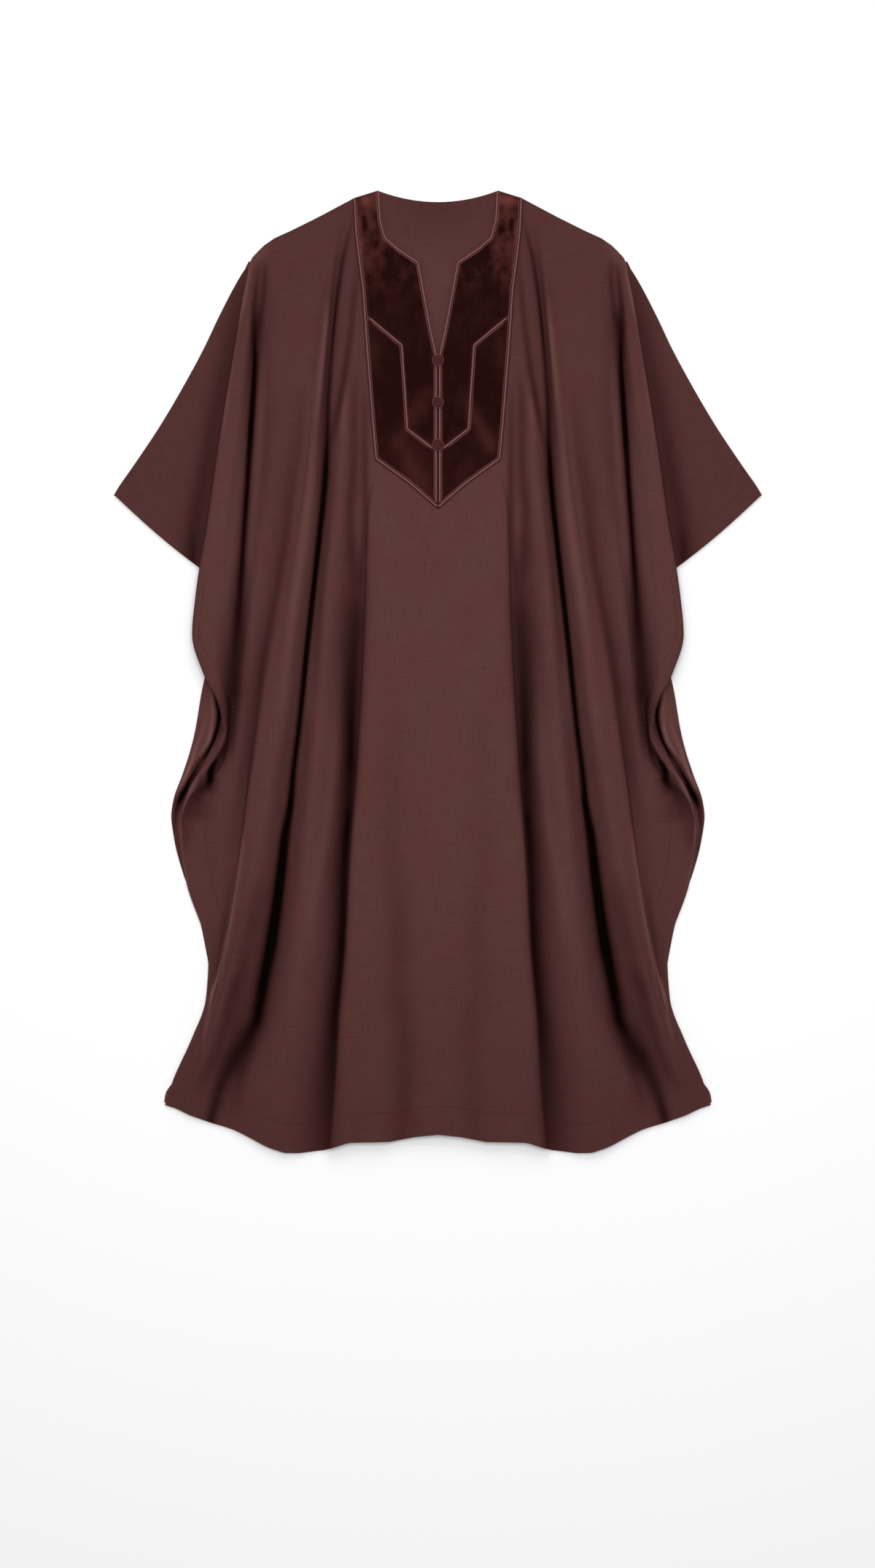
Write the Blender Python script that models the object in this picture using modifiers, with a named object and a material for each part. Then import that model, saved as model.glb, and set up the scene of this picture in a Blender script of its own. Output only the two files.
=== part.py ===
"""Grand boubou robe, laid flat face up.

The robe is a wide open-sided gown: one front and one back panel, joined along the shoulders, with a
short folded sleeve panel sewn to each side.  It lies on a flat surface, face up, neck towards +Y.
A velvet bib with corded edges and three covered buttons surrounds the V neck.

Lengths in the tables are millimetres.  "down" is measured from the neck points towards the hem,
"out" from the centre line to either side, "rise" upwards from where the cloth lies lowest.
"""
import bisect
import math

import bpy

MM = 0.001

# --- driving sizes -------------------------------------------------------------------------------
ROBE_LENGTH = 1191.0        # neck points to the lowest point of the hem
CLOTH = 1.2                 # wall of the brocade panels
VELVET = 1.2                # wall of the bib pieces
SEAM = 0.3                  # gap between pieces that meet
CORD_RADIUS = 1.3           # piping cord
SLIT_HALF = 0.5             # half the width of the front slit
BUTTON_RADIUS = 7.5
BUTTON_HEIGHT = 4.6
BUTTON_STEPS = 20
BUTTONS_DOWN = (211.5, 263.7, 316.0)

FRONT_FLOOR = CLOTH + SEAM + CLOTH / 2      # middle of the front wall where it lies on the back

# --- outlines of the flat robe: (out, down) ------------------------------------------------------
SHOULDER = ((74, 1), (103, 10), (144, 32), (180, 50), (202, 60), (215, 69), (222, 76), (229, 84))
HEM = ((0, 1167), (28, 1170), (59, 1176), (110, 1177), (141, 1187), (172, 1190.5), (190, 1190),
       (211, 1183), (239, 1168), (254, 1161), (281, 1153), (306, 1144), (323, 1136), (338, 1131))
NECK = ((74, 1), (71.6, 38.7), (65.7, 60.3), (49, 74.7), (24.8, 90.9), (16.7, 135), (9.5, 173.7),
        (3.2, 203.4))
BIB_EDGE = ((103, 10), (101, 53), (96.8, 89), (92.3, 123), (86.9, 202.5), (79.7, 292.5), (76, 333),
            (34.7, 362.7), (0, 392.9))
BIB_INNER = ((87.8, 156.6), (44.6, 192.6), (40.4, 252.9), (37.8, 296), (1.4, 324.5))
BACK_SIDE = ((284, 560), (288, 601), (292, 621), (300, 669), (306, 694), (315, 722), (327, 756), (329.5, 775),
             (326, 803), (315, 845), (299, 886), (288.5, 929), (283, 966), (283, 983), (290, 1009),
             (303, 1047), (325, 1095), (337, 1116), (338.5, 1126))
BACK_CREST = ((286, 601), (278, 626), (275, 646), (276, 663), (281, 680), (291, 695), (302, 709),
              (310, 724), (318, 744), (322, 775), (322, 803))
SLEEVE_TOP = ((238, 98), (244, 107), (271, 158), (288, 194), (306, 228), (342, 290), (378, 344),
              (396, 370), (400.5, 378))

# --- folds of one half of the front --------------------------------------------------------------
# Each column is a line that runs from the shoulder to the hem: a lip is a rounded edge that stands
# over what lies outside it, a dip is the bottom of a valley, a crest the top of a ridge.  The rim is
# the outermost roll, and the edge is where the wall ends: at the sleeve seam, then at the open side.
FOLDS = ("lip", "dip_c", "crest_b", "dip_b", "crest_ab", "lip_ab", "foot_ab", "crest_a", "dip_a",
         "crest_rim", "rim", "edge")

# down, then the fold's distance out from the centre line
OUT = (
    (None, 103.5, 104.6, 105.8, 107.6, 126, 180, 184, 202, 215, 222, 227, 229),
    (100, 95, 97.5, 101, 122, 133, 174, 179, 197, 218, 225, 233, 234.5),
    (200, 88, 92, 103, 133, 142, 163, 169, 198, 225, 239, 251, 235),
    (335, 77, 82, 118, 138, 157, 169, 176, 202, 234.5, 256, 273, 257),
    (400, 87, 95, 125, 142, 165, 179, 188, 211, 239, 263, 282, 266),
    (500, 89, 99, 135, 152, 179, 196, 205, 225, 243, 276, 298, 282),
    (550, 91, 102, 138, 157.5, 185, 205, 215, 231, 247, 281, 302.5, 286),
    (600, 93, 105, 141, 163, 191, 214, 225, 238, 252, 276, 288, 283),
    (650, 96, 108, 145, 169, 197, 221, 232, 242, 255, 261.5, 265, 268),
    (700, 99, 111, 149, 175, 204, 228, 237, 248, 260, 268, 273, 284),
    (750, 103, 114, 153, 181, 212, 235, 240, 255, 287, 302, 307.5, 311),
    (790, 106, 116, 156.5, 186, 219, 240, 244.5, 266, 298, 312, 316, 319),
    (850, 110, 119, 162, 193, 230, 248, 252, 268, 296, 304.5, 308.5, 312),
    (950, 116, 125, 172, 207, 252, 265, 269, 273, 277.5, 280, 281.7, 283.5),
    (1000, 121, 130, 178, 216, 266, 276.5, 280, 282, 283.4, 284.6, 285.6, 286.6),
    (1050, 124, 134, 183, 237, 283, 295, 298, 300, 301.4, 302.6, 303.6, 304.6),
    (1100, 127, 139, 188, 263, 300, 313, 317, 320, 322.2, 324, 325.6, 327.2),
    (None, 134, 146, 194, 281, 308, 322, 326, 329.5, 332, 334, 335.8, 337.5),
)
# down, then the fold's rise above the lowest lie of the front
RISE = (
    (None, 0, 0, 0, 0, 0, 0, 0, 0, 0, 1.0, 2.2, 2.6),
    (100, 3.0, 2.8, 3.4, 0, 9.2, 6.6, 6.4, 7.0, 3.7, 6.0, 4.4, 2.6),
    (200, 4.5, 4.2, 7.2, 0, 14.4, 12.6, 11.6, 13.4, 1.4, 13.5, 9.9, 2.6),
    (335, 5.5, 4.6, 10.6, 0, 17.4, 13.6, 11.0, 16.0, 0, 16.8, 12.4, 2.6),
    (400, 7.6, 1.6, 12.1, 0, 18.0, 13.8, 10.0, 15.5, 0, 17.5, 13.0, 2.6),
    (500, 11.0, 0.3, 14.8, 0, 19.0, 14.3, 8.5, 12.6, 0, 18.5, 13.5, 2.6),
    (550, 12.4, 0, 15.9, 0, 19.7, 14.9, 7.3, 10.5, 0, 18.0, 13.2, 3.2),
    (600, 13.6, 0, 16.9, 0, 20.3, 15.6, 6.0, 8.4, 0, 16.8, 12.5, 5.0),
    (650, 14.7, 0, 17.7, 0, 20.8, 16.4, 4.3, 6.5, 0.4, 14.3, 13.0, 6.5),
    (700, 15.6, 0, 18.8, 0, 21.5, 17.0, 2.6, 5.3, 0.6, 10.2, 9.4, 5.0),
    (750, 16.4, 0, 19.9, 0, 22.0, 17.4, 1.6, 4.4, 0.8, 3.4, 3.2, 1.6),
    (790, 16.7, 0, 20.5, 0, 22.0, 17.4, 1.2, 4.2, 0.8, 2.4, 1.8, 0.5),
    (850, 17.0, 0, 21.0, 0, 22.0, 17.4, 1.0, 3.4, 0.6, 1.4, 1.2, 0.2),
    (950, 17.0, 0, 19.7, 0, 19.2, 14.6, 0.6, 1.9, 0.4, 1.1, 0.8, 0.1),
    (1000, 16.7, 0, 18.2, 0, 13.9, 9.6, 0.5, 0.9, 0.4, 0.6, 0.4, 0.1),
    (1050, 16.2, 0, 15.7, 0.4, 7.9, 4.4, 0.5, 0.6, 0.4, 0.5, 0.3, 0.1),
    (1100, 15.0, 0, 11.9, 0.7, 4.7, 2.4, 0.6, 0.7, 0.5, 0.5, 0.3, 0.1),
    (None, 12.0, 0, 5.0, 0.8, 2.5, 1.2, 0.5, 0.6, 0.4, 0.4, 0.2, 0),
)
# down, then how many degrees the wall has turned downwards at each rounded edge
ROLL_COLUMNS = ("lip", "lip_ab", "rim", "edge")
ROLL = (
    (None, 0, 0, 18, 20),
    (100, 0, 5, 80, 170),
    (200, 0, 9, 90, 178),
    (335, 9, 14, 90, 178),
    (400, 80, 18, 90, 178),
    (500, 90, 23, 90, 178),
    (550, 90, 32, 90, 178),
    (600, 90, 45, 90, 150),
    (650, 90, 68, 63, 80),
    (700, 90, 80, 27, 30),
    (750, 90, 90, 18, 25),
    (790, 90, 90, 18, 20),
    (850, 90, 90, 18, 20),
    (950, 90, 90, 18, 20),
    (1000, 90, 85, 18, 20),
    (1050, 90, 45, 9, 10),
    (1100, 80, 9, 0, 5),
    (None, 70, 0, 0, 0),
)
LIPS = ("lip", "lip_ab")
LIP_ROUND = 5.0             # radius over which a lip turns down

# Soft troughs pressed into the front: out and down at the start, middle and end, depth, half width
TROUGHS = (
    (98, 93, 108, 170, 122, 278, 3.2, 5.0),
    (99, 221, 107, 340, 110, 486, 2.6, 4.5),
    (288, 760, 283, 800, 270, 905, 1.2, 3.0),
)

# Columns of faces between one fold line and the next, from the centre outwards, and rows of faces
# between one section and the next, from the shoulder down
COLUMN_STEPS = (3, 2, 2, 2, 3, 3, 1, 2, 2, 1, 2, 2, 2, 2)
ROW_STEPS = (6, 3, 3, 2, 3, 1, 1, 2, 2, 2, 1, 2, 3, 2, 2, 2, 3)


# --- curves through tables -----------------------------------------------------------------------
def smooth(xs, ys, x):
    """Monotone cubic through (xs, ys): no overshoot between the points."""
    last = len(xs) - 1
    x = min(max(x, xs[0]), xs[last])
    steps = [xs[i + 1] - xs[i] for i in range(last)]
    slopes = [(ys[i + 1] - ys[i]) / steps[i] for i in range(last)]

    def tangent(i):
        if i == 0:
            return slopes[0]
        if i == last:
            return slopes[-1]
        if slopes[i - 1] * slopes[i] <= 0:
            return 0.0
        w1 = 2 * steps[i] + steps[i - 1]
        w2 = steps[i] + 2 * steps[i - 1]
        return (w1 + w2) / (w1 / slopes[i - 1] + w2 / slopes[i])

    i = min(bisect.bisect_right(xs, x) - 1, last - 1)
    t = (x - xs[i]) / steps[i]
    return (ys[i] * (1 + 2 * t) * (1 - t) ** 2 + ys[i + 1] * t * t * (3 - 2 * t)
            + steps[i] * t * (1 - t) * (tangent(i) * (1 - t) - tangent(i + 1) * t))


def straight(points, x):
    """Straight line through (x, y) points, held level past both ends."""
    if x <= points[0][0]:
        return points[0][1]
    for (x0, y0), (x1, y1) in zip(points, points[1:]):
        if x <= x1:
            return y0 + (y1 - y0) * (x - x0) / (x1 - x0)
    return points[-1][1]


def out_at(outline, down):
    """How far out an (out, down) outline is at one place down, corners kept."""
    return straight([(d, o) for o, d in outline], down)


def smooth_out(outline, down):
    """The same, as a smooth curve."""
    return smooth([d for o, d in outline], [o for o, d in outline], down)


# --- the front as a surface ----------------------------------------------------------------------
LAST_SECTION = len(OUT) - 1


def column(table, names, name):
    place = names.index(name) + 1
    return [row[place] for row in table]


def section_downs(name):
    """Where one fold line meets each section: the two ends lie on the shoulder and on the hem."""
    downs = [row[0] for row in OUT]
    outs = column(OUT, FOLDS, name)
    downs[0] = straight(SHOULDER, outs[0])
    downs[-1] = straight(HEM, outs[-1])
    return downs


def follow(name, values, down):
    """One of a fold line's values at a place down, as a smooth curve through its sections."""
    return smooth(section_downs(name), values, down)


def down_at(name, v):
    """Down on a fold line at section number v, which may lie between two sections."""
    downs = section_downs(name)
    i = min(int(v), LAST_SECTION - 1)
    return downs[i] + (downs[i + 1] - downs[i]) * (v - i)


def section_of(out, down):
    """The section number v of a point near the centre, by its place."""
    downs = [row[0] for row in OUT]
    downs[0] = straight(SHOULDER, out)
    downs[-1] = straight(HEM, out)
    i = min(max(bisect.bisect_right(downs, down) - 1, 0), LAST_SECTION - 1)
    return i + (down - downs[i]) / (downs[i + 1] - downs[i])


def fold_line(v):
    """One section of half the front as (out, down, rise, turn) at each fold line, brows added.

    A brow is the point just inside a lip, where the wall starts to turn down.
    """
    line = []
    for name in FOLDS:
        down = down_at(name, v)
        out = follow(name, column(OUT, FOLDS, name), down)
        rise = follow(name, column(RISE, FOLDS, name), down)
        turn = 0.0
        if name in ROLL_COLUMNS:
            turn = follow(name, column(ROLL, ROLL_COLUMNS, name), down)
        if name in LIPS:
            line.append((out - LIP_ROUND, down, rise, 0.0))
            rise -= LIP_ROUND * turn / 90
        line.append((out, down, rise, turn))
    return line


def turned_point(a, b, t):
    """A point between two fold lines: a cubic that leaves and arrives at the given turns."""
    reach = math.hypot(b[0] - a[0], b[2] - a[2])
    out0, rise0 = reach * math.cos(math.radians(a[3])), -reach * math.sin(math.radians(a[3]))
    out1, rise1 = reach * math.cos(math.radians(b[3])), -reach * math.sin(math.radians(b[3]))
    h0, h1 = (1 + 2 * t) * (1 - t) ** 2, t * t * (3 - 2 * t)
    g0, g1 = t * (1 - t) ** 2, -t * t * (1 - t)
    return (h0 * a[0] + h1 * b[0] + g0 * out0 + g1 * out1,
            a[1] + (b[1] - a[1]) * t,
            h0 * a[2] + h1 * b[2] + g0 * rise0 + g1 * rise1)


def trough_depth(out, down):
    depth = 0.0
    for o0, d0, o1, d1, o2, d2, deep, wide in TROUGHS:
        if d0 < down < d2:
            middle = smooth((d0, d1, d2), (o0, o1, o2), down)
            ends = math.sin(math.pi * (down - d0) / (d2 - d0))
            depth += deep * ends * math.exp(-((out - middle) / wide) ** 2)
    return depth


def neck_out(down):
    """The inner edge of the front: the neck line, then the slit, then the centre line."""
    if down >= BIB_EDGE[-1][1]:
        return 0.0
    return max(out_at(NECK, down) - CORD_RADIUS / 2, SLIT_HALF)


def on_ends(out, down, v):
    """Down, with the first row brought onto the shoulder line and the last onto the hem."""
    if v < 1:
        return straight(SHOULDER, out) * (1 - v) + OUT[1][0] * v
    past = v - (LAST_SECTION - 1)
    if past > 0:
        return OUT[-2][0] * (1 - past) + straight(HEM, out) * past
    return down


def front_row(v):
    """Half a row of the front wall's middle as (out, down, height), centre first."""
    marks = fold_line(v)
    inner_down = on_ends(0.0, marks[0][1], v)
    inner = (neck_out(inner_down), inner_down, marks[0][2], 0.0)
    marks.insert(0, inner)
    row = []
    for i, steps in enumerate(COLUMN_STEPS):
        for s in range(steps):
            row.append(turned_point(marks[i], marks[i + 1], s / steps))
    row.append(marks[-1][:3])
    finished = []
    for out, down, rise in row:
        down = on_ends(out, down, v)
        rise = max(rise - trough_depth(out, down), 0.0)
        finished.append((out, down, FRONT_FLOOR + rise))
    return finished


def bib_top(out, down):
    """Height of the front's upper face under the bib."""
    lip_down = down_at("lip", section_of(out, down))
    return FRONT_FLOOR + follow("lip", column(RISE, FOLDS, "lip"), lip_down) + CLOTH / 2


def section_rows(steps):
    rows = [i + s / n for i, n in enumerate(steps) for s in range(n)]
    return rows + [float(LAST_SECTION)]


# --- scene helpers -------------------------------------------------------------------------------
def clear_scene():
    for obj in list(bpy.data.objects):
        bpy.data.objects.remove(obj, do_unlink=True)


def material(name, colour, roughness):
    mat = bpy.data.materials.new(name)
    mat.use_nodes = True
    shader = mat.node_tree.nodes["Principled BSDF"]
    shader.inputs["Base Color"].default_value = (*colour, 1.0)
    shader.inputs["Roughness"].default_value = roughness
    shader.inputs["Metallic"].default_value = 0.0
    return mat


def place(out, down, height, side=1):
    """A point of the robe in world metres: side is -1 for the wearer's right, +1 for the left."""
    return (side * out * MM, (ROBE_LENGTH / 2 - down) * MM, height * MM)


def add_object(name, data, mat, collection):
    data.materials.append(mat)
    obj = bpy.data.objects.new(name, data)
    collection.objects.link(obj)
    return obj


def wall(name, vertices, faces, thickness, mat, collection):
    """An open surface made a cloth wall, with half its thickness on each side."""
    mesh = bpy.data.meshes.new(name)
    mesh.from_pydata(vertices, [], faces)
    mesh.validate()
    mesh.shade_smooth()
    obj = add_object(name, mesh, mat, collection)
    solid = obj.modifiers.new("Wall", "SOLIDIFY")
    solid.thickness = thickness * MM
    solid.offset = 0.0
    solid.use_even_offset = False
    return obj


def grid_faces(rows, columns):
    return [(r * columns + c, (r + 1) * columns + c, (r + 1) * columns + c + 1, r * columns + c + 1)
            for r in range(rows - 1) for c in range(columns - 1)]


def wind(faces, side):
    """Faces counter-clockwise from above on either side."""
    return faces if side > 0 else [tuple(reversed(face)) for face in faces]


# --- the pieces ----------------------------------------------------------------------------------
def make_front(mat, collection):
    """One wall from side to side, slit down the centre as far as the bib's point."""
    rows = [front_row(v) for v in section_rows(ROW_STEPS)]
    columns = len(rows[0])
    vertices = [place(*point) for row in rows for point in row]
    faces = grid_faces(len(rows), columns)
    mirrored = {}
    for index, point in enumerate(p for row in rows for p in row):
        if point[0] == 0.0:
            mirrored[index] = index
        else:
            mirrored[index] = len(vertices)
            vertices.append(place(*point, side=-1))
    faces += [tuple(mirrored[i] for i in reversed(face)) for face in grid_faces(len(rows), columns)]
    return wall("front_panel", vertices, faces, CLOTH, mat, collection)


BACK_ROWS = 40
BACK_BODY_STEPS = 4
NECK_DROP = 15.0            # how far the back neckline dips below the neck points
BACK_HEM_SHORT = 3.0        # how far the back's hem stops above the front's
BACK_CREST_RISE = 7.5       # height of the roll beside each open side
BACK_CREST_FOOT = 6.0       # from the roll's crest in to where it meets the flat
BACK_CREST_DOWN = (600, 783)
BACK_CREST_PROFILE = ((-2.5, 0.6), (0.0, 1.0))      # (out from the crest, share of the rise)
BACK_SIDE_RISE = 0.12       # share of the rise left at the back's own edge


def seam_out(down):
    """How far out the sleeve seam lies."""
    return follow("edge", column(OUT, FOLDS, "edge"), down)


def back_side(down):
    """Outer edge of the back: along the sleeve seam, then the free side."""
    if down < BACK_SIDE[0][1]:
        return seam_out(down)
    return smooth_out(BACK_SIDE, down)


def back_high(out):
    """Down of the back's top edge: the neckline, then the shoulder."""
    neck_point = SHOULDER[0][0]
    high = straight(SHOULDER, out)
    if out < neck_point:
        high = NECK_DROP + (high - NECK_DROP) * (out / neck_point) ** 2
    return high


def back_row(share):
    """Half a row of the back wall's middle: flat, with a soft roll near the open side."""
    first, last = SHOULDER[-1][1], BACK_SIDE[-1][1]
    side_down = first + (last - first) * share
    side = back_side(side_down)
    crest = min(smooth_out(BACK_CREST, side_down), side - BACK_CREST_FOOT)
    roll_share = (side_down - BACK_CREST_DOWN[0]) / (BACK_CREST_DOWN[1] - BACK_CREST_DOWN[0])
    swell = BACK_CREST_RISE * math.sin(math.pi * min(max(roll_share, 0), 1)) ** 0.7
    body = crest - BACK_CREST_FOOT
    row = [(body * s / BACK_BODY_STEPS, 0.0) for s in range(BACK_BODY_STEPS + 1)]
    row += [(crest + out, swell * part) for out, part in BACK_CREST_PROFILE]
    row += [((crest + side) / 2, swell * 0.75), (side, swell * BACK_SIDE_RISE)]
    placed = []
    for out, rise in row:
        down = side_down + (back_high(out) - first) * (1 - share) ** 6
        down += (straight(HEM, out) - BACK_HEM_SHORT - last) * share ** 12
        placed.append((out, down, CLOTH / 2 + rise))
    return placed


def make_back(mat, collection):
    half = [back_row(r / BACK_ROWS) for r in range(BACK_ROWS + 1)]
    vertices = []
    for row in half:
        vertices += [place(*point, side=-1) for point in reversed(row[1:])]
        vertices += [place(*point) for point in row]
    faces = grid_faces(len(half), 2 * len(half[0]) - 1)
    return wall("back_panel", vertices, faces, CLOTH, mat, collection)


SLEEVE_ROWS = 14
SLEEVE_TOP_STEPS = 7
SLEEVE_LOW_STEPS = 2
SLEEVE_SEAM_DOWN = (99, 478)
SLEEVE_LIE = 3.2            # middle of the upper layer at the seam, above the surface
SLEEVE_FOLD_LIE = 2.9       # the same beside the fold at the top edge
SLEEVE_FOLD_ROUND = 0.9     # how far the fold reaches past the layers
SLEEVE_FOLD_FLAT = 0.5      # half the height of the fold's outer face
SLEEVE_LEAST_WIDTH = 3.0
SLEEVE_LOW_GAP = 0.8        # how far the lower layer stands off the back's side seam
SLEEVE_HEM_BOW = 4.0        # how far the hem bows past the straight line between its corners


def sleeve_row(share):
    """One row round the folded sleeve: upper layer from the seam out, fold, lower layer back."""
    seam_down = SLEEVE_SEAM_DOWN[0] + (SLEEVE_SEAM_DOWN[1] - SLEEVE_SEAM_DOWN[0]) * share
    inner = seam_out(seam_down) + SEAM
    fold_down = SLEEVE_TOP[0][1] + (SLEEVE_TOP[-1][1] - SLEEVE_TOP[0][1]) * share
    fold = smooth_out(SLEEVE_TOP, fold_down) - SLEEVE_FOLD_ROUND - CLOTH / 4
    fold = max(fold, inner + SLEEVE_LEAST_WIDTH)
    low = CLOTH / 2

    def across(t, start, height):
        bow = SLEEVE_HEM_BOW * math.sin(math.pi * t) * share ** 8
        return (start + (fold - start) * t, seam_down + (fold_down - seam_down) * t + bow, height)

    row = []
    for s in range(SLEEVE_TOP_STEPS + 1):
        t = s / SLEEVE_TOP_STEPS
        row.append(across(t, inner, SLEEVE_LIE + (SLEEVE_FOLD_LIE - SLEEVE_LIE) * t))
    middle = (SLEEVE_FOLD_LIE + low) / 2
    row.append((fold + SLEEVE_FOLD_ROUND, fold_down, middle + SLEEVE_FOLD_FLAT))
    row.append((fold + SLEEVE_FOLD_ROUND, fold_down, middle - SLEEVE_FOLD_FLAT))
    for s in range(SLEEVE_LOW_STEPS + 1):
        row.append(across(1 - s / SLEEVE_LOW_STEPS, inner + SLEEVE_LOW_GAP, low))
    return row


def make_sleeve(name, side, mat, collection):
    rows = [sleeve_row(r / SLEEVE_ROWS) for r in range(SLEEVE_ROWS + 1)]
    vertices = [place(*point, side=side) for row in rows for point in row]
    faces = wind(grid_faces(len(rows), len(rows[0])), side)
    return wall(name, vertices, faces, CLOTH, mat, collection)


def along(points, count):
    """Points evenly spaced along a polyline, the corners snapped to the nearest."""
    lengths = [0.0]
    for a, b in zip(points, points[1:]):
        lengths.append(lengths[-1] + math.dist(a, b))
    stops = [lengths[-1] * i / (count - 1) for i in range(count)]
    for corner in lengths[1:-1]:
        nearest = min(range(1, count - 1), key=lambda i: abs(stops[i] - corner))
        stops[nearest] = corner
    result = []
    for stop in stops:
        i = min(bisect.bisect_right(lengths, stop) - 1, len(points) - 2)
        t = (stop - lengths[i]) / (lengths[i + 1] - lengths[i])
        result.append(tuple(a + (b - a) * t for a, b in zip(points[i], points[i + 1])))
    return result


def inset(points, distance):
    """An open (out, down) polyline moved sideways, outwards where it runs down, if distance > 0."""
    moved = []
    for i, (x, y) in enumerate(points):
        normals = []
        for a, b in ((i - 1, i), (i, i + 1)):
            if a >= 0 and b < len(points):
                dx, dy = points[b][0] - points[a][0], points[b][1] - points[a][1]
                length = math.hypot(dx, dy)
                normals.append((dy / length, -dx / length))
        nx = sum(n[0] for n in normals) / len(normals)
        ny = sum(n[1] for n in normals) / len(normals)
        scale = distance / (nx * nx + ny * ny)
        moved.append((x + nx * scale, y + ny * scale))
    return moved


BIB_SIDE_STEPS = 14
BIB_CROSS_STEPS = 3
BIB_END_GAP = 0.5                           # from the shoulder line to the velvet's end
CORD_GAP = CORD_RADIUS + SEAM + 0.2         # from a cord's middle to the velvet's edge
CENTRE_CORD_OUT = 2.3                       # cords beside the slit, from the centre line
CENTRE_CORD_DOWN = (206, 386.5)             # where the neck cord turns down the slit, and ends
YOKE_END_DOWN = 318
BORDER_START = 4.0                          # down from where the inner cord starts
BORDER_POINT = 1.0                          # width of the border's upper point
BORDER_SLIT_DOWN = (324, 385.6)             # the border's stretch beside the slit
EDGE_CORD_ENDS = ((103, 11), (1.9, 391.4))   # just short of the shoulder and of the other side
INNER_CORD_ENDS = ((84.4, 159.4), (6.4, 320.6))     # just short of the edge and slit cords
BUTTON_PROFILE = ((0.0, 1.0), (0.45, 0.93), (0.8, 0.7), (0.97, 0.42), (1.0, 0.25), (0.86, 0.0),
                  (0.0, 0.0))               # shares of the radius and of the height


def make_velvet(name, side, outer, inner, mat, collection):
    """A bib piece lofted between its outer and its inner edge, lying on the front."""
    outer_points = along(outer, BIB_SIDE_STEPS + 1)
    inner_points = along(inner, BIB_SIDE_STEPS + 1)
    vertices = []
    for a, b in zip(inner_points, outer_points):
        for s in range(BIB_CROSS_STEPS + 1):
            out = a[0] + (b[0] - a[0]) * s / BIB_CROSS_STEPS
            down = a[1] + (b[1] - a[1]) * s / BIB_CROSS_STEPS
            height = bib_top(out, down) + SEAM + VELVET / 2
            vertices.append(place(out, down, height, side))
    faces = wind(grid_faces(BIB_SIDE_STEPS + 1, BIB_CROSS_STEPS + 1), side)
    return wall(name, vertices, faces, VELVET, mat, collection)


def yoke_outline():
    """Outer and inner edges of the upper bib piece."""
    slit_edge = CENTRE_CORD_OUT + CORD_GAP
    side_edge = [p for p in BIB_EDGE if p[1] < BIB_INNER[0][1]]
    outer = inset(side_edge + list(BIB_INNER), -CORD_GAP)
    neck = list(NECK[:-1]) + [(CENTRE_CORD_OUT, CENTRE_CORD_DOWN[0]), (CENTRE_CORD_OUT, YOKE_END_DOWN)]
    inner = inset(neck, CORD_GAP)
    outer[-1] = (slit_edge, inner[-1][1] + BIB_END_GAP)
    for edge in (outer, inner):
        edge[0] = (edge[0][0], straight(SHOULDER, edge[0][0]) + BIB_END_GAP)
    return outer, inner


def border_outline():
    """Outer and inner edges of the lower bib piece, which ends in a point at the top."""
    slit_edge = CENTRE_CORD_OUT + CORD_GAP
    side_edge = [p for p in BIB_EDGE if p[1] > BIB_INNER[0][1]]
    start_down = BIB_INNER[0][1] + BORDER_START
    start = (out_at(BIB_EDGE, start_down), start_down)
    outer = inset([start] + side_edge, -CORD_GAP)
    inner = inset(list(BIB_INNER), CORD_GAP)
    inner[0] = (outer[0][0] - BORDER_POINT, outer[0][1])
    inner[-1] = (slit_edge, BORDER_SLIT_DOWN[0])
    outer[-1] = (slit_edge, BORDER_SLIT_DOWN[1])
    return outer, inner


def make_cord(name, side, points, mat, collection):
    """A piping cord laid on the front along (out, down) points."""
    curve = bpy.data.curves.new(name, "CURVE")
    curve.dimensions = "3D"
    curve.bevel_depth = CORD_RADIUS * MM
    curve.bevel_resolution = 2
    curve.use_fill_caps = True
    curve.render_resolution_u = 0
    spline = curve.splines.new("POLY")
    spline.points.add(len(points) - 1)
    for point, (out, down) in zip(spline.points, points):
        height = bib_top(out, down) + SEAM + CORD_RADIUS
        point.co = (*place(out, down, height, side), 1.0)
    return add_object(name, curve, mat, collection)


def neck_cord_route():
    slit = [(CENTRE_CORD_OUT, down) for down in CENTRE_CORD_DOWN]
    return along(list(NECK[:-1]) + slit, 22)


def edge_cord_route():
    return along([EDGE_CORD_ENDS[0]] + list(BIB_EDGE[1:-1]) + [EDGE_CORD_ENDS[1]], 18)


def inner_cord_route():
    return along([INNER_CORD_ENDS[0]] + list(BIB_INNER[1:-1]) + [INNER_CORD_ENDS[1]], 12)


def make_button(name, down, mat, collection):
    """A covered dome button, a turned profile, sitting across the two centre cords."""
    mesh = bpy.data.meshes.new(name)
    points = [(r * BUTTON_RADIUS * MM, 0.0, h * BUTTON_HEIGHT * MM) for r, h in BUTTON_PROFILE]
    mesh.from_pydata(points, [(i, i + 1) for i in range(len(points) - 1)], [])
    obj = add_object(name, mesh, mat, collection)
    base = bib_top(0.0, down) + SEAM + 2 * CORD_RADIUS + SEAM
    obj.location = place(0.0, down, base)
    screw = obj.modifiers.new("Turn", "SCREW")
    screw.steps = BUTTON_STEPS
    screw.render_steps = BUTTON_STEPS
    screw.use_merge_vertices = True
    screw.merge_threshold = 0.00001
    screw.use_smooth_shade = True
    return obj


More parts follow.
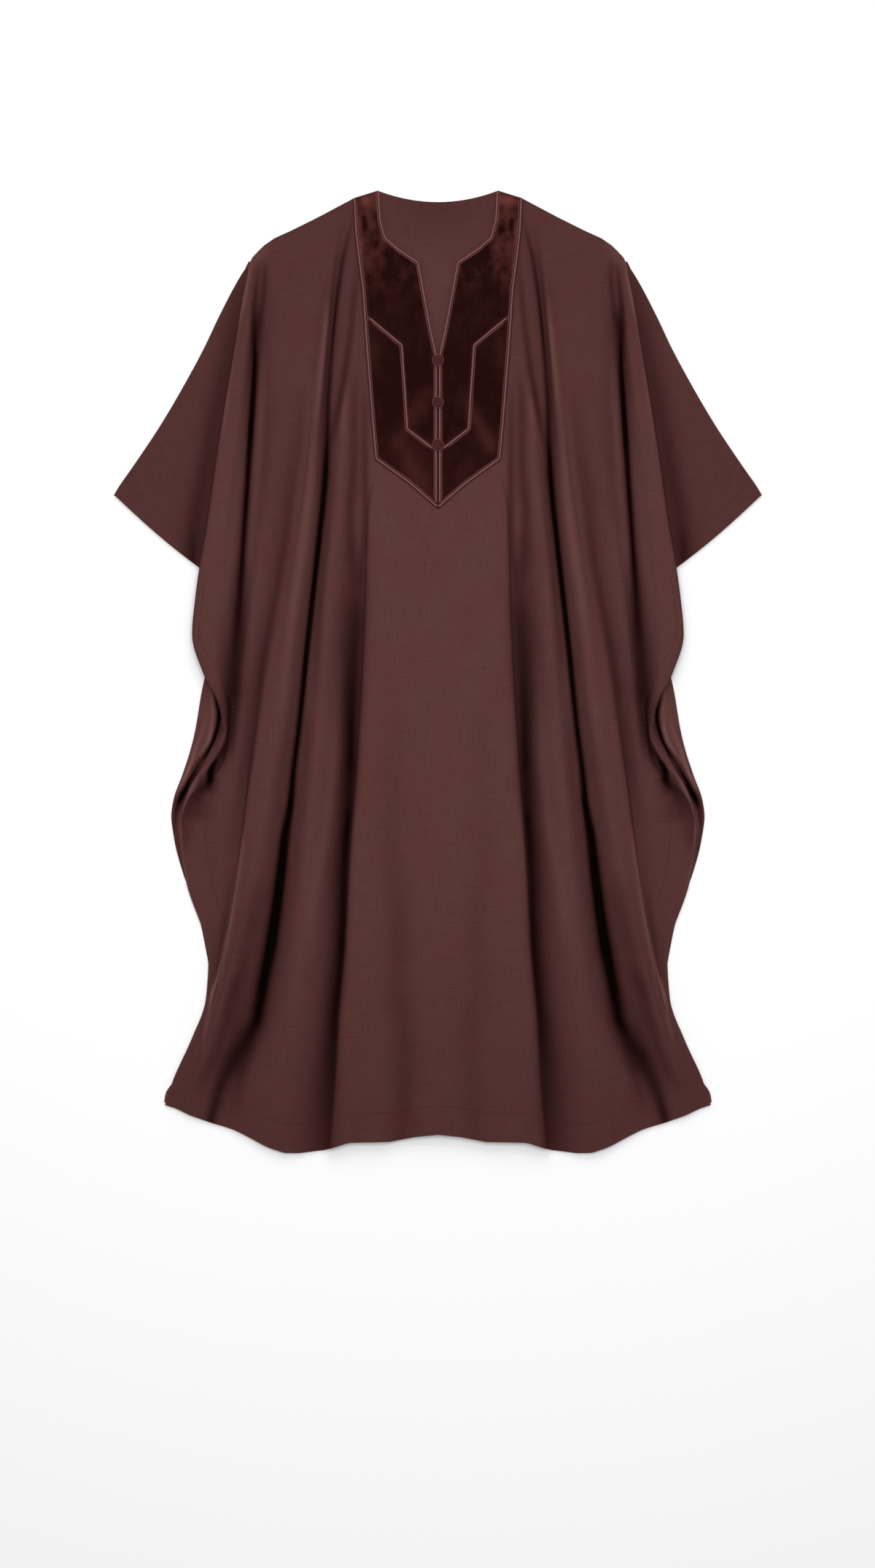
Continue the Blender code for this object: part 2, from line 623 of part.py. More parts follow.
def main():
    clear_scene()
    collection = bpy.data.collections.new("grand_boubou_robe")
    bpy.context.scene.collection.children.link(collection)
    cloth = material("plum_brocade", (0.098, 0.036, 0.031), 0.75)
    velvet = material("dark_velvet", (0.024, 0.007, 0.006), 0.9)
    piping = material("rose_piping", (0.195, 0.069, 0.063), 0.6)
    make_back(cloth, collection)
    make_front(cloth, collection)
    for side, label in ((-1, "right"), (1, "left")):
        make_sleeve("sleeve_" + label, side, cloth, collection)
        make_velvet("bib_yoke_" + label, side, *yoke_outline(), velvet, collection)
        make_velvet("bib_border_" + label, side, *border_outline(), velvet, collection)
        make_cord("piping_neck_" + label, side, neck_cord_route(), piping, collection)
        make_cord("piping_edge_" + label, side, edge_cord_route(), piping, collection)
        make_cord("piping_inner_" + label, side, inner_cord_route(), piping, collection)
    for number, down in enumerate(BUTTONS_DOWN, 1):
        make_button("button_" + str(number), down, velvet, collection)


main()
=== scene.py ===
"""Grand boubou robe laid flat: the finish of every piece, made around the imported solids.

Lengths in the tables are millimetres.  "out" runs from the centre line to either side, "down" from
the neck points towards the hem, "rise" upwards from where the front lies lowest.  The wearer's
right is side -1, which is -X.
"""
import bisect
import functools
import math

import bmesh
import bpy
import numpy as np
from mathutils import Matrix, Vector

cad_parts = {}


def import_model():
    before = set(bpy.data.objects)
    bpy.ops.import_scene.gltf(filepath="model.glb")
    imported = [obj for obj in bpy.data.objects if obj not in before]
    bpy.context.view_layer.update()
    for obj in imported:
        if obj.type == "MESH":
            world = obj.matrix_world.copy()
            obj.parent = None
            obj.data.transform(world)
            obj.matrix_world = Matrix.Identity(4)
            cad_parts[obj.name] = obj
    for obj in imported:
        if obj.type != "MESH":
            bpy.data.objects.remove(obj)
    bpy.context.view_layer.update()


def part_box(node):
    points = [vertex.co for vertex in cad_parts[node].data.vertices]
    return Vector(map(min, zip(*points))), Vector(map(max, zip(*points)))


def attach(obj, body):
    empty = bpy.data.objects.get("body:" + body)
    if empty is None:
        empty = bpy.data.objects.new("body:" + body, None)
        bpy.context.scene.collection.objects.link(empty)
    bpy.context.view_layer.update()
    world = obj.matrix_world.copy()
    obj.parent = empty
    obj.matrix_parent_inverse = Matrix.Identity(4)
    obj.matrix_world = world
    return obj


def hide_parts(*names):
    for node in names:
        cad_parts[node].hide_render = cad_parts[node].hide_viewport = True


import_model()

bl_info = {
    "name": "Grand boubou robe",
    "version": (1, 0, 0),
    "blender": (4, 5, 0),
    "location": "3D View > Sidebar > Boubou",
    "description": "Dresses the robe's solids with cloth, velvet, piping, buttons and stitches",
    "category": "Object",
}

MM = 0.001
SIDES = {"right": -1, "left": 1}


def linear(hex_colour):
    """An sRGB hex colour as linear red, green and blue."""
    shares = [int(hex_colour[i:i + 2], 16) / 255 for i in (0, 2, 4)]
    return tuple(s / 12.92 if s <= 0.04045 else ((s + 0.055) / 1.055) ** 2.4 for s in shares)


# === sizes and colours a user would change =======================================================
def length(name, description, default):
    return bpy.props.FloatProperty(name=name, description=description, default=default,
                                   unit="LENGTH", precision=5)


def colour(name, description, default):
    return bpy.props.FloatVectorProperty(name=name, description=description,
                                         default=linear(default), size=3, min=0.0, max=1.0,
                                         subtype="COLOR")


class BoubouSizes(bpy.types.PropertyGroup):
    cloth_wall: length("Cloth wall", "Thickness of the robe cloth with its turned hems", 0.0012)
    velvet_wall: length("Velvet wall", "Thickness of the velvet, pile and all", 0.0012)
    velvet_pile: length("Velvet crown", "How far the velvet swells between its seams", 0.0005)
    row_spacing: length("Row spacing", "Distance between rows of the fine cloth", 0.0068)
    hem_depth: length("Hem depth", "From the hem to its line of stitches", 0.036)
    side_hem_depth: length("Side hem depth", "From the open side to its line of stitches", 0.032)
    sleeve_hem_depth: length("Sleeve hem depth", "From the sleeve's edge to its stitches", 0.022)
    stitch_length: length("Stitch length", "Length of one hemming stitch that shows", 0.0022)
    stitch_step: length("Stitch step", "From one hemming stitch to the next", 0.0052)
    stitch_width: length("Stitch width", "Thickness of the sewing thread", 0.0005)
    lip_radius: length("Flange radius", "Half the width of the piping's sewn flange", 0.00045)
    lip_offset: length("Flange offset", "From the piping's middle to its sewn flange", 0.0025)
    camera_lens: bpy.props.FloatProperty(name="Camera lens", description="Focal length in mm",
                                         default=85.0, min=20.0, max=200.0)
    frame_height: length("Framed height", "How much of the surface the camera takes in", 1.935)


class BoubouColours(bpy.types.PropertyGroup):
    cloth: colour("Robe cloth", "Face of the plum suiting", "533331")
    # the darkest suiting: its darker threads and slubs, and the painted shade of the hem's line
    cloth_dye_and_shade: colour("Cloth in the folds", "The suiting deep in its folds", "080303")
    velvet: colour("Velvet", "Velvet seen along its pile", "1c0604")
    # the lighter velvet: brushed pile, and painted sheen over the shoulder and beside the seams
    velvet_brushed_and_sheen: colour("Brushed velvet", "Velvet where its pile leans away", "5e312d")
    piping: colour("Piping", "Bias-cut satin over the cords", "623432")
    flange: colour("Flange", "The piping's sewn edge on the velvet", "683b38")
    button: colour("Button cover", "Velvet stretched over the buttons", "3d1a18")
    button_rim: colour("Button rim", "Satin edge round the buttons", "5f3735")
    thread: colour("Sewing thread", "Thread of the hems", "4a2c2a")
    floor: colour("Floor", "Pale studio floor", "eeeeee")


# === the robe's own sizes, as its solids have them ===============================================
ROBE_LENGTH = 1191.0        # neck points to just past the lowest point of the hem
CLOTH = 1.2                 # wall of the robe cloth
VELVET = 1.2                # wall of the bib pieces
SEAM = 0.3                  # gap between pieces that meet
CORD_RADIUS = 1.3
SLIT_HALF = 0.5             # half the width of the front slit
SLIT_END = 388.0            # where the slit closes, between the cords
FRONT_FLOOR = CLOTH + SEAM + CLOTH / 2      # middle of the front wall where it lies on the back

SHOULDER = ((74, 1), (103, 10), (144, 32), (180, 50), (202, 60), (215, 69), (222, 76), (229, 84))
HEM = ((0, 1167), (28, 1170), (59, 1176), (110, 1177), (141, 1187), (172, 1190.5), (190, 1190),
       (211, 1183), (239, 1168), (254, 1161), (281, 1153), (306, 1144), (323, 1136), (338, 1131))
NECK = ((74, 1), (71.6, 38.7), (65.7, 60.3), (49, 74.7), (24.8, 90.9), (16.7, 135), (9.5, 173.7),
        (3.2, 203.4))
BIB_EDGE = ((103, 10), (101, 53), (96.8, 89), (92.3, 123), (86.9, 202.5), (79.7, 292.5), (76, 333),
            (34.7, 362.7), (0, 392.9))
BIB_INNER = ((87.8, 156.6), (44.6, 192.6), (40.4, 252.9), (37.8, 296), (1.4, 324.5))
BACK_SIDE = ((284, 560), (288, 601), (292, 621), (300, 669), (306, 694), (315, 722), (327, 756),
             (329.5, 775), (326, 803), (315, 845), (299, 886), (288.5, 929), (283, 966), (283, 983),
             (290, 1009), (303, 1047), (325, 1095), (337, 1116), (338.5, 1126))
BACK_CREST = ((286, 601), (278, 626), (275, 646), (276, 663), (281, 680), (291, 695), (302, 709),
              (310, 724), (318, 744), (322, 775), (322, 803))
SLEEVE_TOP = ((232.4, 89), (237.5, 97), (244, 107), (271, 158), (288, 194), (306, 228), (342, 290),
              (378, 344), (396, 370), (400.5, 378))

# Down of the sections of the front that lie between its shoulder and its hem
SECTION_DOWNS = (100, 200, 335, 400, 500, 550, 600, 650, 700, 750, 790, 850, 950, 1000, 1050, 1100)
# Folds of one half of the front.  Each is a line from the shoulder to the hem: a lip is a rounded
# edge that stands over what lies outside it, a dip is the bottom of a valley, a crest the top of a
# ridge.  The rim is the outermost roll, and the edge is where the wall ends.  In the three tables
# each has a column, and each section a row, from the one on the shoulder to the one on the hem.
FOLDS = ("lip", "dip_c", "crest_b", "dip_b", "crest_ab", "lip_ab", "foot_ab", "crest_a", "dip_a",
         "crest_rim", "rim", "edge")
# The fold's distance out from the centre line
OUT = (
    (103.5, 104.6, 105.8, 107.6, 126, 180, 184, 202, 215, 222, 227, 229),
    (95, 97.5, 101, 122, 133, 174, 179, 197, 218, 225, 233, 234.5),
    (88, 92, 103, 133, 142, 163, 169, 198, 225, 239, 251, 235),
    (77, 82, 118, 138, 157, 169, 176, 202, 234.5, 256, 273, 257),
    (87, 95, 125, 142, 165, 179, 188, 211, 239, 263, 282, 266),
    (89, 99, 135, 152, 179, 196, 205, 225, 243, 276, 298, 282),
    (91, 102, 138, 157.5, 185, 205, 215, 231, 247, 281, 302.5, 286),
    (93, 105, 141, 163, 191, 214, 225, 238, 252, 276, 288, 283),
    (96, 108, 145, 169, 197, 221, 232, 242, 255, 261.5, 265, 268),
    (99, 111, 149, 175, 204, 228, 237, 248, 260, 268, 273, 284),
    (103, 114, 153, 181, 212, 235, 240, 255, 287, 302, 307.5, 311),
    (106, 116, 156.5, 186, 219, 240, 244.5, 266, 298, 312, 316, 319),
    (110, 119, 162, 193, 230, 248, 252, 268, 296, 304.5, 308.5, 312),
    (116, 125, 172, 207, 252, 265, 269, 273, 277.5, 280, 281.7, 283.5),
    (121, 130, 178, 216, 266, 276.5, 280, 282, 283.4, 284.6, 285.6, 286.6),
    (124, 134, 183, 237, 283, 295, 298, 300, 301.4, 302.6, 303.6, 304.6),
    (127, 139, 188, 263, 300, 313, 317, 320, 322.2, 324, 325.6, 327.2),
    (134, 146, 194, 281, 308, 322, 326, 329.5, 332, 334, 335.8, 337.5),
)
# Its rise above the lowest lie of the front
RISE = (
    (0, 0, 0, 0, 0, 0, 0, 0, 0, 1, 2.2, 2.6),
    (3, 2.8, 3.4, 0, 9.2, 6.6, 6.4, 7, 3.7, 6, 4.4, 2.6),
    (4.5, 4.2, 7.2, 0, 14.4, 12.6, 11.6, 13.4, 1.4, 13.5, 9.9, 2.6),
    (5.5, 4.6, 10.6, 0, 17.4, 13.6, 11, 16, 0, 16.8, 12.4, 2.6),
    (7.6, 1.6, 12.1, 0, 18, 13.8, 10, 15.5, 0, 17.5, 13, 2.6),
    (11, 0.3, 14.8, 0, 19, 14.3, 8.5, 12.6, 0, 18.5, 13.5, 2.6),
    (12.4, 0, 15.9, 0, 19.7, 14.9, 7.3, 10.5, 0, 18, 13.2, 3.2),
    (13.6, 0, 16.9, 0, 20.3, 15.6, 6, 8.4, 0, 16.8, 12.5, 5),
    (14.7, 0, 17.7, 0, 20.8, 16.4, 4.3, 6.5, 0.4, 14.3, 13, 6.5),
    (15.6, 0, 18.8, 0, 21.5, 17, 2.6, 5.3, 0.6, 10.2, 9.4, 5),
    (16.4, 0, 19.9, 0, 22, 17.4, 1.6, 4.4, 0.8, 3.4, 3.2, 1.6),
    (16.7, 0, 20.5, 0, 22, 17.4, 1.2, 4.2, 0.8, 2.4, 1.8, 0.5),
    (17, 0, 21, 0, 22, 17.4, 1, 3.4, 0.6, 1.4, 1.2, 0.2),
    (17, 0, 19.7, 0, 19.2, 14.6, 0.6, 1.9, 0.4, 1.1, 0.8, 0.1),
    (16.7, 0, 18.2, 0, 13.9, 9.6, 0.5, 0.9, 0.4, 0.6, 0.4, 0.1),
    (16.2, 0, 15.7, 0.4, 7.9, 4.4, 0.5, 0.6, 0.4, 0.5, 0.3, 0.1),
    (15, 0, 11.9, 0.7, 4.7, 2.4, 0.6, 0.7, 0.5, 0.5, 0.3, 0.1),
    (12, 0, 5, 0.8, 2.5, 1.2, 0.5, 0.6, 0.4, 0.4, 0.2, 0),
)
# How many degrees the wall has turned downwards at each rounded edge
ROLL_COLUMNS = ("lip", "lip_ab", "rim", "edge")
ROLL = (
    (0, 0, 18, 20),
    (0, 5, 80, 170),
    (0, 9, 90, 178),
    (9, 14, 90, 178),
    (80, 18, 90, 178),
    (90, 23, 90, 178),
    (90, 32, 90, 178),
    (90, 45, 90, 150),
    (90, 68, 63, 80),
    (90, 80, 27, 30),
    (90, 90, 18, 25),
    (90, 90, 18, 20),
    (90, 90, 18, 20),
    (90, 90, 18, 20),
    (90, 85, 18, 20),
    (90, 45, 9, 10),
    (80, 9, 0, 5),
    (70, 0, 0, 0),
)
LIPS = ("lip", "lip_ab")
LIP_ROUND = 5.0             # radius over which a lip turns down

# Columns of faces between one fold line and the next, from the centre outwards
COLUMN_STEPS = (24, 4, 6, 10, 12, 13, 7, 3, 5, 6, 11, 12, 6, 6)
# Rows of faces: down, then how far apart they lie there, as a share of the usual
ROW_WIDTHS = ((0, 1.0), (120, 1.5), (267, 1.5), (335, 0.55), (400, 0.55), (440, 1.5), (500, 1.4),
              (600, 0.6), (800, 0.6), (900, 1.2), (1191, 1.0))
EDGE_BAND = 0.8             # width of the last band of faces beside a free edge, which rounds it

# === soft creases, pressed or raised =============================================================
# Each has its reach on its centre side and on its outer side, its course as (out, down, depth), and
# its share on the wearer's right and on the left where it isn't whole on both.  A ridge has a
# negative depth, and a fourth number widens the stroke at that stop.
FRONT_CREASES = (
    # valley beside the bib, and the long one under it
    (5, 5, ((98, 93, 0), (103, 130, 2.2), (108, 170, 3.2), (114, 222, 2.6), (122, 278, 0))),
    (4.5, 4.5, ((99, 221, 0), (103, 280, 1.8), (107, 340, 2.6), (109, 410, 2), (110, 486, 0))),
    (3, 3, ((288, 760, 0), (283, 800, 1), (277, 850, 1.2), (270, 905, 0))),
    (2.5, 3, ((92, 292, 0.2), (89, 328, 1), (89, 377, 0.4)), 1, 0.7),
    # two short strands at the head of the outer valley
    (3, 3.5, ((220, 96, 0.4), (226, 129, 1.8), (229, 174, 1.3), (224, 212, 0.2)), 1, 0.9),
    (3, 2.5, ((215, 92, 0.3), (214, 115, 1.5), (217, 141, 1.6), (221, 182, 0.6),
        (224, 212, 0.2)), 0.9, 1),
    # broad slack beside the middle of the centre panel
    (26, 20, ((47, 700, 0), (49, 800, 1.6), (48, 900, 3.4), (49, 1000, 4.4), (48, 1100, 4.8),
        (46, 1190, 4.6)), 1, 0.45),
    (14, 12, ((84, 900, 0), (88, 1010, 0.8), (91, 1100, 1.2), (95, 1190, 1.4)), 0.6, 1),
    # where the outer valley opens towards the hem
    (4, 6, ((219, 1066, 0), (236, 1102, 1), (251, 1132, 1.8), (259, 1144, 1.6), (263, 1158, 1))),
    (2, 2.5, ((250, 1126, 0), (254, 1135, 1), (258, 1144, 0)), 1, 0.6),
    (2, 2, ((306, 1116, 0), (316, 1121, 0.8), (326, 1125, 0))),
    (2, 3, ((284, 1000, 0), (288, 1015, -0.9), (290, 1031, 0)), 1, 0.8),
)
BACK_CREASES = (
    (3, 3.5, ((288, 652, 0), (296, 680, -0.9), (303, 698, -0.7), (307, 714, 0))),
    (4, 4, ((262, 760, 0), (268, 880, 0.5), (262, 1010, 0)), 1, 0.8),
)
# Painted shade in the gap between the front's free edge and the back, shared by both
SIDE_GAP_SHADE = (2.4, 2.8, (
    (277, 618, 0), (275, 630, 0.7, 0.8), (271.5, 642, 1.1, 1.1), (270, 650, 1.3, 1.25),
    (270.8, 659, 1.3, 1.25), (272.7, 667, 1.3, 1.1), (275.4, 676, 1.3, 1.1),
    (278.7, 685, 1.25, 0.9), (284.4, 694, 1.05, 0.75), (290.3, 703, 0.95, 0.7),
    (296.8, 712, 0.95, 0.7), (302.4, 721, 0.95, 0.75), (307.4, 730, 1.1, 0.9),
    (311.4, 739, 1.3, 1.2), (315.9, 748, 1.3, 1.6), (320, 757, 1, 1.7), (323, 766, 0.75, 1.6),
    (324.2, 775, 0.7, 1.4), (325, 784, 0.6, 1.2), (324.3, 793, 0.45, 1.2), (322.2, 802, 0.45),
    (320.4, 820, 0.4), (316.4, 838, 0.15), (312, 850, 0)))
# Depth of painted shade on the cloth, given as the creases are: 1 is as dark as it gets, and more
# than 1 makes the darkest part wider
FRONT_SHADE = (
    # the long valley b: a hairline under the shoulder, black down the side, open at the hem
    (4.6, 4.6, ((103, 30, 0.1, 0.6), (117, 82, 0.6, 0.8), (124, 127, 0.8, 0.75),
        (129, 172, 0.95, 0.65), (133, 217, 0.8, 0.8), (136, 262, 0.85, 0.9), (137, 307, 0.9, 1.2),
        (139, 352, 1.15, 1.3), (143, 397, 1.2, 1.15), (148, 442, 1.25, 1.05), (153, 487, 1.25, 1),
        (163, 577, 1.3, 0.95), (172, 667, 1.3, 0.95), (178, 712, 1.3, 1), (182, 757, 1.35, 1.15),
        (189.5, 802, 1.5, 1.5), (194.5, 847, 1.4, 1.8), (200, 892, 1.3, 2.1), (207, 937, 1.2, 2.5),
        (216, 982, 1.1, 2.6), (224, 1027, 1, 2.9), (238, 1056, 0.85, 3.4), (253, 1076, 0.75, 3.6),
        (266, 1100, 0.7, 2.4), (273, 1122, 0.7, 2), (280, 1146, 0.75, 1.6), (284, 1162, 0.6, 1.4))),
    (7, 7, ((226, 1040, 0), (233, 1062, 0.2), (238, 1081, 0.36), (246, 1110, 0.3),
        (254, 1140, 0.1))),
    # valley c beside the centre panel, first soft on both sides, then cut off by the lip
    (13, 20, ((101, 415, 0), (101, 451, 0.28), (99, 487, 0.46), (101, 532, 0.74), (104, 577, 0.8),
        (106, 622, 0.88), (107, 667, 0.95, 0.8), (107.5, 712, 0.95, 0.75), (109, 745, 0.6, 0.75),
        (110, 780, 0, 0.7)), 1, 0.95),
    (6, 17, ((107, 690, 0), (108, 712, 0.25), (108.5, 745, 0.7), (109.5, 775, 0.97),
        (112, 802, 0.97), (115, 847, 0.93), (116, 892, 0.93), (118, 937, 0.93),
        (122, 982, 0.9, 1.1), (127, 1027, 0.88, 1.1), (130, 1072, 0.8, 1.3), (133, 1117, 0.7, 1.5),
        (136, 1162, 0.58, 1.6), (138, 1190, 0.5, 1.6)), 1, 0.95),
    # hairlines beside the bib
    (4.5, 4.5, ((91, 235, 0), (91, 262, 0.26), (90, 307, 0.4), (90, 352, 0.5), (90, 397, 0.42),
        (91, 442, 0.4), (95, 478, 0.25), (98, 500, 0))),
    (6, 7, ((100, 210, 0), (103, 262, 0.34), (103, 307, 0.4), (104, 352, 0.46), (108, 397, 0.42),
        (107, 442, 0.4), (104, 480, 0.2), (101, 500, 0))),
    (4.5, 4.5, ((95, 60, 0), (99, 82, 0.1), (103, 127, 0.33), (108, 172, 0.37), (114, 217, 0.5),
        (121, 262, 0.62), (128, 300, 0.4), (134, 330, 0))),
    (6, 5, ((133, 95, 0), (139, 127, 0.15), (146, 172, 0.12), (152, 217, 0.1),
        (158, 250, 0)), 1, 0.8),
    # valley a, inside the outer roll, with two short strands at its head
    (4.8, 4.8, ((223, 140, 0.1), (227, 172, 0.8, 0.9), (226, 217, 1.1, 1.1), (229, 262, 1.3, 1),
        (232, 307, 1.3, 1), (235, 352, 1.25, 0.9), (238, 397, 1.1, 1), (241, 442, 1.05, 1),
        (244, 487, 0.95, 1.5), (247, 532, 0.9, 2), (251, 577, 0.8, 2.6), (254, 622, 0.8, 2.8),
        (258, 660, 0.7, 2.1), (261, 690, 0, 1.7))),
    (6, 6, ((216, 140, 0), (221, 172, 0.5), (222, 200, 0.3), (224, 222, 0))),
    (4, 4, ((213, 88, 0.1), (214, 110, 0.45), (216, 132, 0.5), (220, 160, 0.45),
        (224, 190, 0.1)), 1, 0.9),
    (4, 4, ((221, 92, 0.1), (225, 127, 0.48), (228, 152, 0.5), (227, 175, 0.2)), 0.9, 1),
    # the pocket where the roll turns under, and the mouth of the open side
    (7.5, 2.6, ((258, 664, 0.1), (262, 680, 0.5), (266.5, 692, 0.8), (272.5, 703, 0.9),
        (279, 712, 1.2), (283.3, 721, 1.3), (283.3, 731, 1.1, 1.2), (284.5, 739, 0.65, 1.3),
        (286, 748, 0.15, 1.3), (288, 757, 0, 1.3))),
    (4, 10, ((281, 720, 0), (286, 730, 0.6), (289, 739, 0.6), (294, 748, 0.25), (300, 756, 0))),
    (24, 1.8, ((290, 728, 0), (296.6, 739, 0.56, 0.6), (303.6, 748, 0.66, 1), (308.7, 757, 0.62, 1),
        (311.9, 766, 0.54, 1.1), (315.3, 775, 0.46, 0.8), (316.6, 784, 0.38, 0.6),
        (314.5, 793, 0.33, 0.5), (314.6, 802, 0.33, 0.4), (314, 812, 0.2, 0.4),
        (312, 826, 0, 0.4))),
    SIDE_GAP_SHADE,
    # the slope that falls to that gap, and the foot of the roll over the pocket
    (8, 1.5, ((271, 650, 0), (271.5, 659, 0.3), (272.7, 667, 0.5), (275.4, 676, 0.45),
        (279, 685, 0.38), (285, 695, 0.25), (290.3, 703, 0.1), (297, 712, 0))),
    (11, 1.5, ((258, 650, 0), (259, 667, 0.26), (261, 678, 0.34), (263, 687, 0.34), (267, 696, 0.2),
        (272, 704, 0))),
    # foot of the second fold, and what runs on from it to the hem
    (8, 11, ((166, 235, 0), (169, 262, 0.12), (172, 307, 0.22), (179, 352, 0.3), (185, 397, 0.36),
        (189, 442, 0.4), (197, 487, 0.4), (206, 532, 0.44), (215, 577, 0.5), (222, 622, 0.46),
        (229, 667, 0.4), (235, 712, 0.36), (243, 757, 0.18), (249, 802, 0.05, 1.4),
        (257, 847, 0, 1.8))),
    # outside the outer ridge's edge, where it runs out to the side
    (1.6, 9, ((247, 830, 0), (252, 856, 0.12, 0.5), (256, 878, 0.2, 0.8), (259.5, 901, 0.24, 0.9),
        (264, 923, 0.3, 1.3), (268.5, 946, 0.27, 1.3), (274, 968, 0.24, 0.9), (282, 991, 0.15, 0.5),
        (288, 1020, 0, 0.5))),
    # the hollow between the two outer ridges, below
    (13, 11, ((212, 840, 0), (224, 870, 0.2), (230, 901, 0.3), (240, 946, 0.3), (246, 991, 0.28),
        (250, 1040, 0.3), (252, 1080, 0.3), (262, 1130, 0))),
    (7, 7, ((238, 955, 0), (251, 982, 0.4), (257, 1005, 0.4), (262, 1027, 0.42), (272, 1060, 0.35),
        (284, 1090, 0.3), (294, 1110, 0.1))),
    (8, 8, ((196, 235, 0), (201, 262, 0.07), (206, 307, 0.09), (212, 352, 0.09), (214, 397, 0.1),
        (218, 430, 0))),
    # slack in the centre panel, more on the right
    (16, 14, ((54, 620, 0), (53, 667, 0.07), (60, 802, 0.14), (54, 847, 0.15), (50, 892, 0.22),
        (48, 937, 0.24), (51, 982, 0.22), (43, 1027, 0.26), (41, 1072, 0.3), (43, 1117, 0.3),
        (45, 1190, 0.26)), 1, 0.5),
)
# Painted highlights on crisp edges that catch the light, with strengths for depths
FRONT_PAINTED_HIGHLIGHTS = (
    # painted sheen over the shoulder, then the wing's rim
    (6, 6, ((204, 64, 0), (214, 73, 0.2), (222, 82, 0.22), (228, 100, 0))),
    (2.4, 2.4, ((229, 86, 0.2), (232.5, 99, 0.5), (235.5, 115, 0.6), (242, 148, 0.6),
        (247.5, 172, 0.45), (254, 215, 0.25), (261, 271, 0.25), (270, 330, 0))),
    # the outer ridge's edge where it runs out to the side
    (2.6, 2, ((239, 780, 0), (241.5, 811, 0.4), (245, 833, 0.6), (248.7, 856, 0.6),
        (252.3, 878, 0.7), (255.8, 901, 0.85), (260.3, 923, 0.95), (265, 946, 0.95),
        (270.6, 968, 0.9), (278.5, 991, 1), (286, 1030, 0.4), (291, 1062, 0)), 1, 0.9),
    # the roll at the open side
    (1.8, 1.8, ((274, 617, 0.1), (270, 633, 0.25), (265, 650, 0.4), (262, 668, 0.4),
        (264, 680, 0.3), (272, 695, 0.1), (283, 712, 0.12), (292, 721, 0.2), (299, 730, 0.45, 1.5),
        (303.5, 739, 0.5, 1.2), (308.3, 748, 0.4), (312.8, 757, 0.5), (316, 766, 0.5),
        (318.6, 776, 0.3), (319.3, 784, 0.45), (319.2, 802, 0.4), (317.3, 820, 0.3),
        (313.7, 838, 0.4), (308, 858, 0.1))),
    # painted highlights on the ridges beside the valleys
    (3, 4, ((112, 230, 0), (115, 271, 0.3), (119, 320, 0))),
    (3, 3.5, ((136, 130, 0), (138, 172, 0.35), (143, 217, 0.3), (148, 271, 0.15), (150, 300, 0))),
    (6, 6, ((149, 290, 0), (154, 361, 0.26), (160, 410, 0.28), (166, 451, 0.28), (174, 500, 0.2),
        (182, 560, 0.12), (188, 631, 0.12), (196, 700, 0))),
    (5, 6, ((150, 570, 0), (155, 600, 0.14), (156, 631, 0.22), (159, 680, 0))),
    (7, 7, ((119, 560, 0), (122, 600, 0.15), (124, 631, 0.22), (127, 680, 0.25), (129, 721, 0.28),
        (135, 770, 0.25), (141, 811, 0.2), (150, 860, 0.15), (156, 901, 0.12), (160, 950, 0))),
    (5, 5, ((236, 240, 0), (240, 271, 0.14), (244, 320, 0.2), (247, 361, 0.28), (252, 410, 0.25),
        (256, 451, 0.22), (263, 500, 0.1), (268, 540, 0))),
    (5, 5, ((213, 190, 0), (216, 235, 0.2), (218, 271, 0.3), (221, 320, 0.28), (223, 361, 0.24),
        (228, 410, 0.25), (231, 451, 0.25), (236, 490, 0.1), (240, 520, 0))),
)
# Painted highlights on the back's rolls
BACK_PAINTED_HIGHLIGHTS = (
    (2, 2, ((282, 600, 0.15), (281, 613, 0.2), (279, 631, 0.2), (277.7, 649, 0.25),
        (278.8, 660, 0.3), (279.7, 668, 0.5), (281.7, 676, 0.55), (285, 685, 0.4), (291, 694, 0.25),
        (297, 703, 0.1), (303, 712, 0))),
    (2.4, 2, ((285, 650, 0), (290.3, 667, 0.25), (294, 676, 0.3), (297.5, 685, 0.35),
        (301, 694, 0.5), (303, 703, 0.5), (306.5, 712, 0.6), (310, 721, 0.65), (315, 730, 0.6),
        (319, 739, 0.4), (323, 748, 0.2), (326, 757, 0)), 1, 0.9),
)
# Painted shade over the cloth's broad lie, as the share of light left: down, then the share at the
# centre, over the first fold, over the second fold and at the rim
LIE_OUT = (60, 150, 200, 270)
FRONT_LIE_SHADE = (
    (0, 0.78, 0.80, 0.80, 0.80), (120, 0.85, 0.83, 0.82, 0.84), (300, 0.98, 0.94, 0.86, 0.98),
    (480, 1.0, 1.0, 0.94, 1.0), (800, 1.0, 1.0, 1.0, 0.9), (900, 0.97, 0.98, 0.98, 0.9),
    (1000, 0.90, 0.96, 0.92, 0.9), (1080, 0.88, 0.86, 0.86, 0.78), (1190, 0.82, 0.80, 0.80, 0.74),
)
# Painted shade on the back
BACK_SHADE = (
    SIDE_GAP_SHADE,
    # painted shade under the neck's edge
    (60, 60, ((0, 15, 0.14), (70, 15, 0.14))),
)
SLEEVE_PAINTED_LIGHT = 0.81     # painted shade: the share of light left on the sleeves, which slope away
# Painted shade on the sleeves, which fall away beside the front's rim
SLEEVE_SHADE = (
    (16, 15, ((238, 100, 0.2), (243, 127, 0.3), (251, 172, 0.4), (261, 217, 0.44), (271, 262, 0.44),
        (280, 307, 0.46), (288, 352, 0.5), (297, 397, 0.5), (303, 442, 0.58), (309, 478, 0.5))),
    (3, 5, ((303, 425, 0.2), (302, 455, 0.4), (300, 475, 0.4))),
    (3, 3, ((376, 342, 0), (379, 346, 0.3), (382, 352, 0))),
)
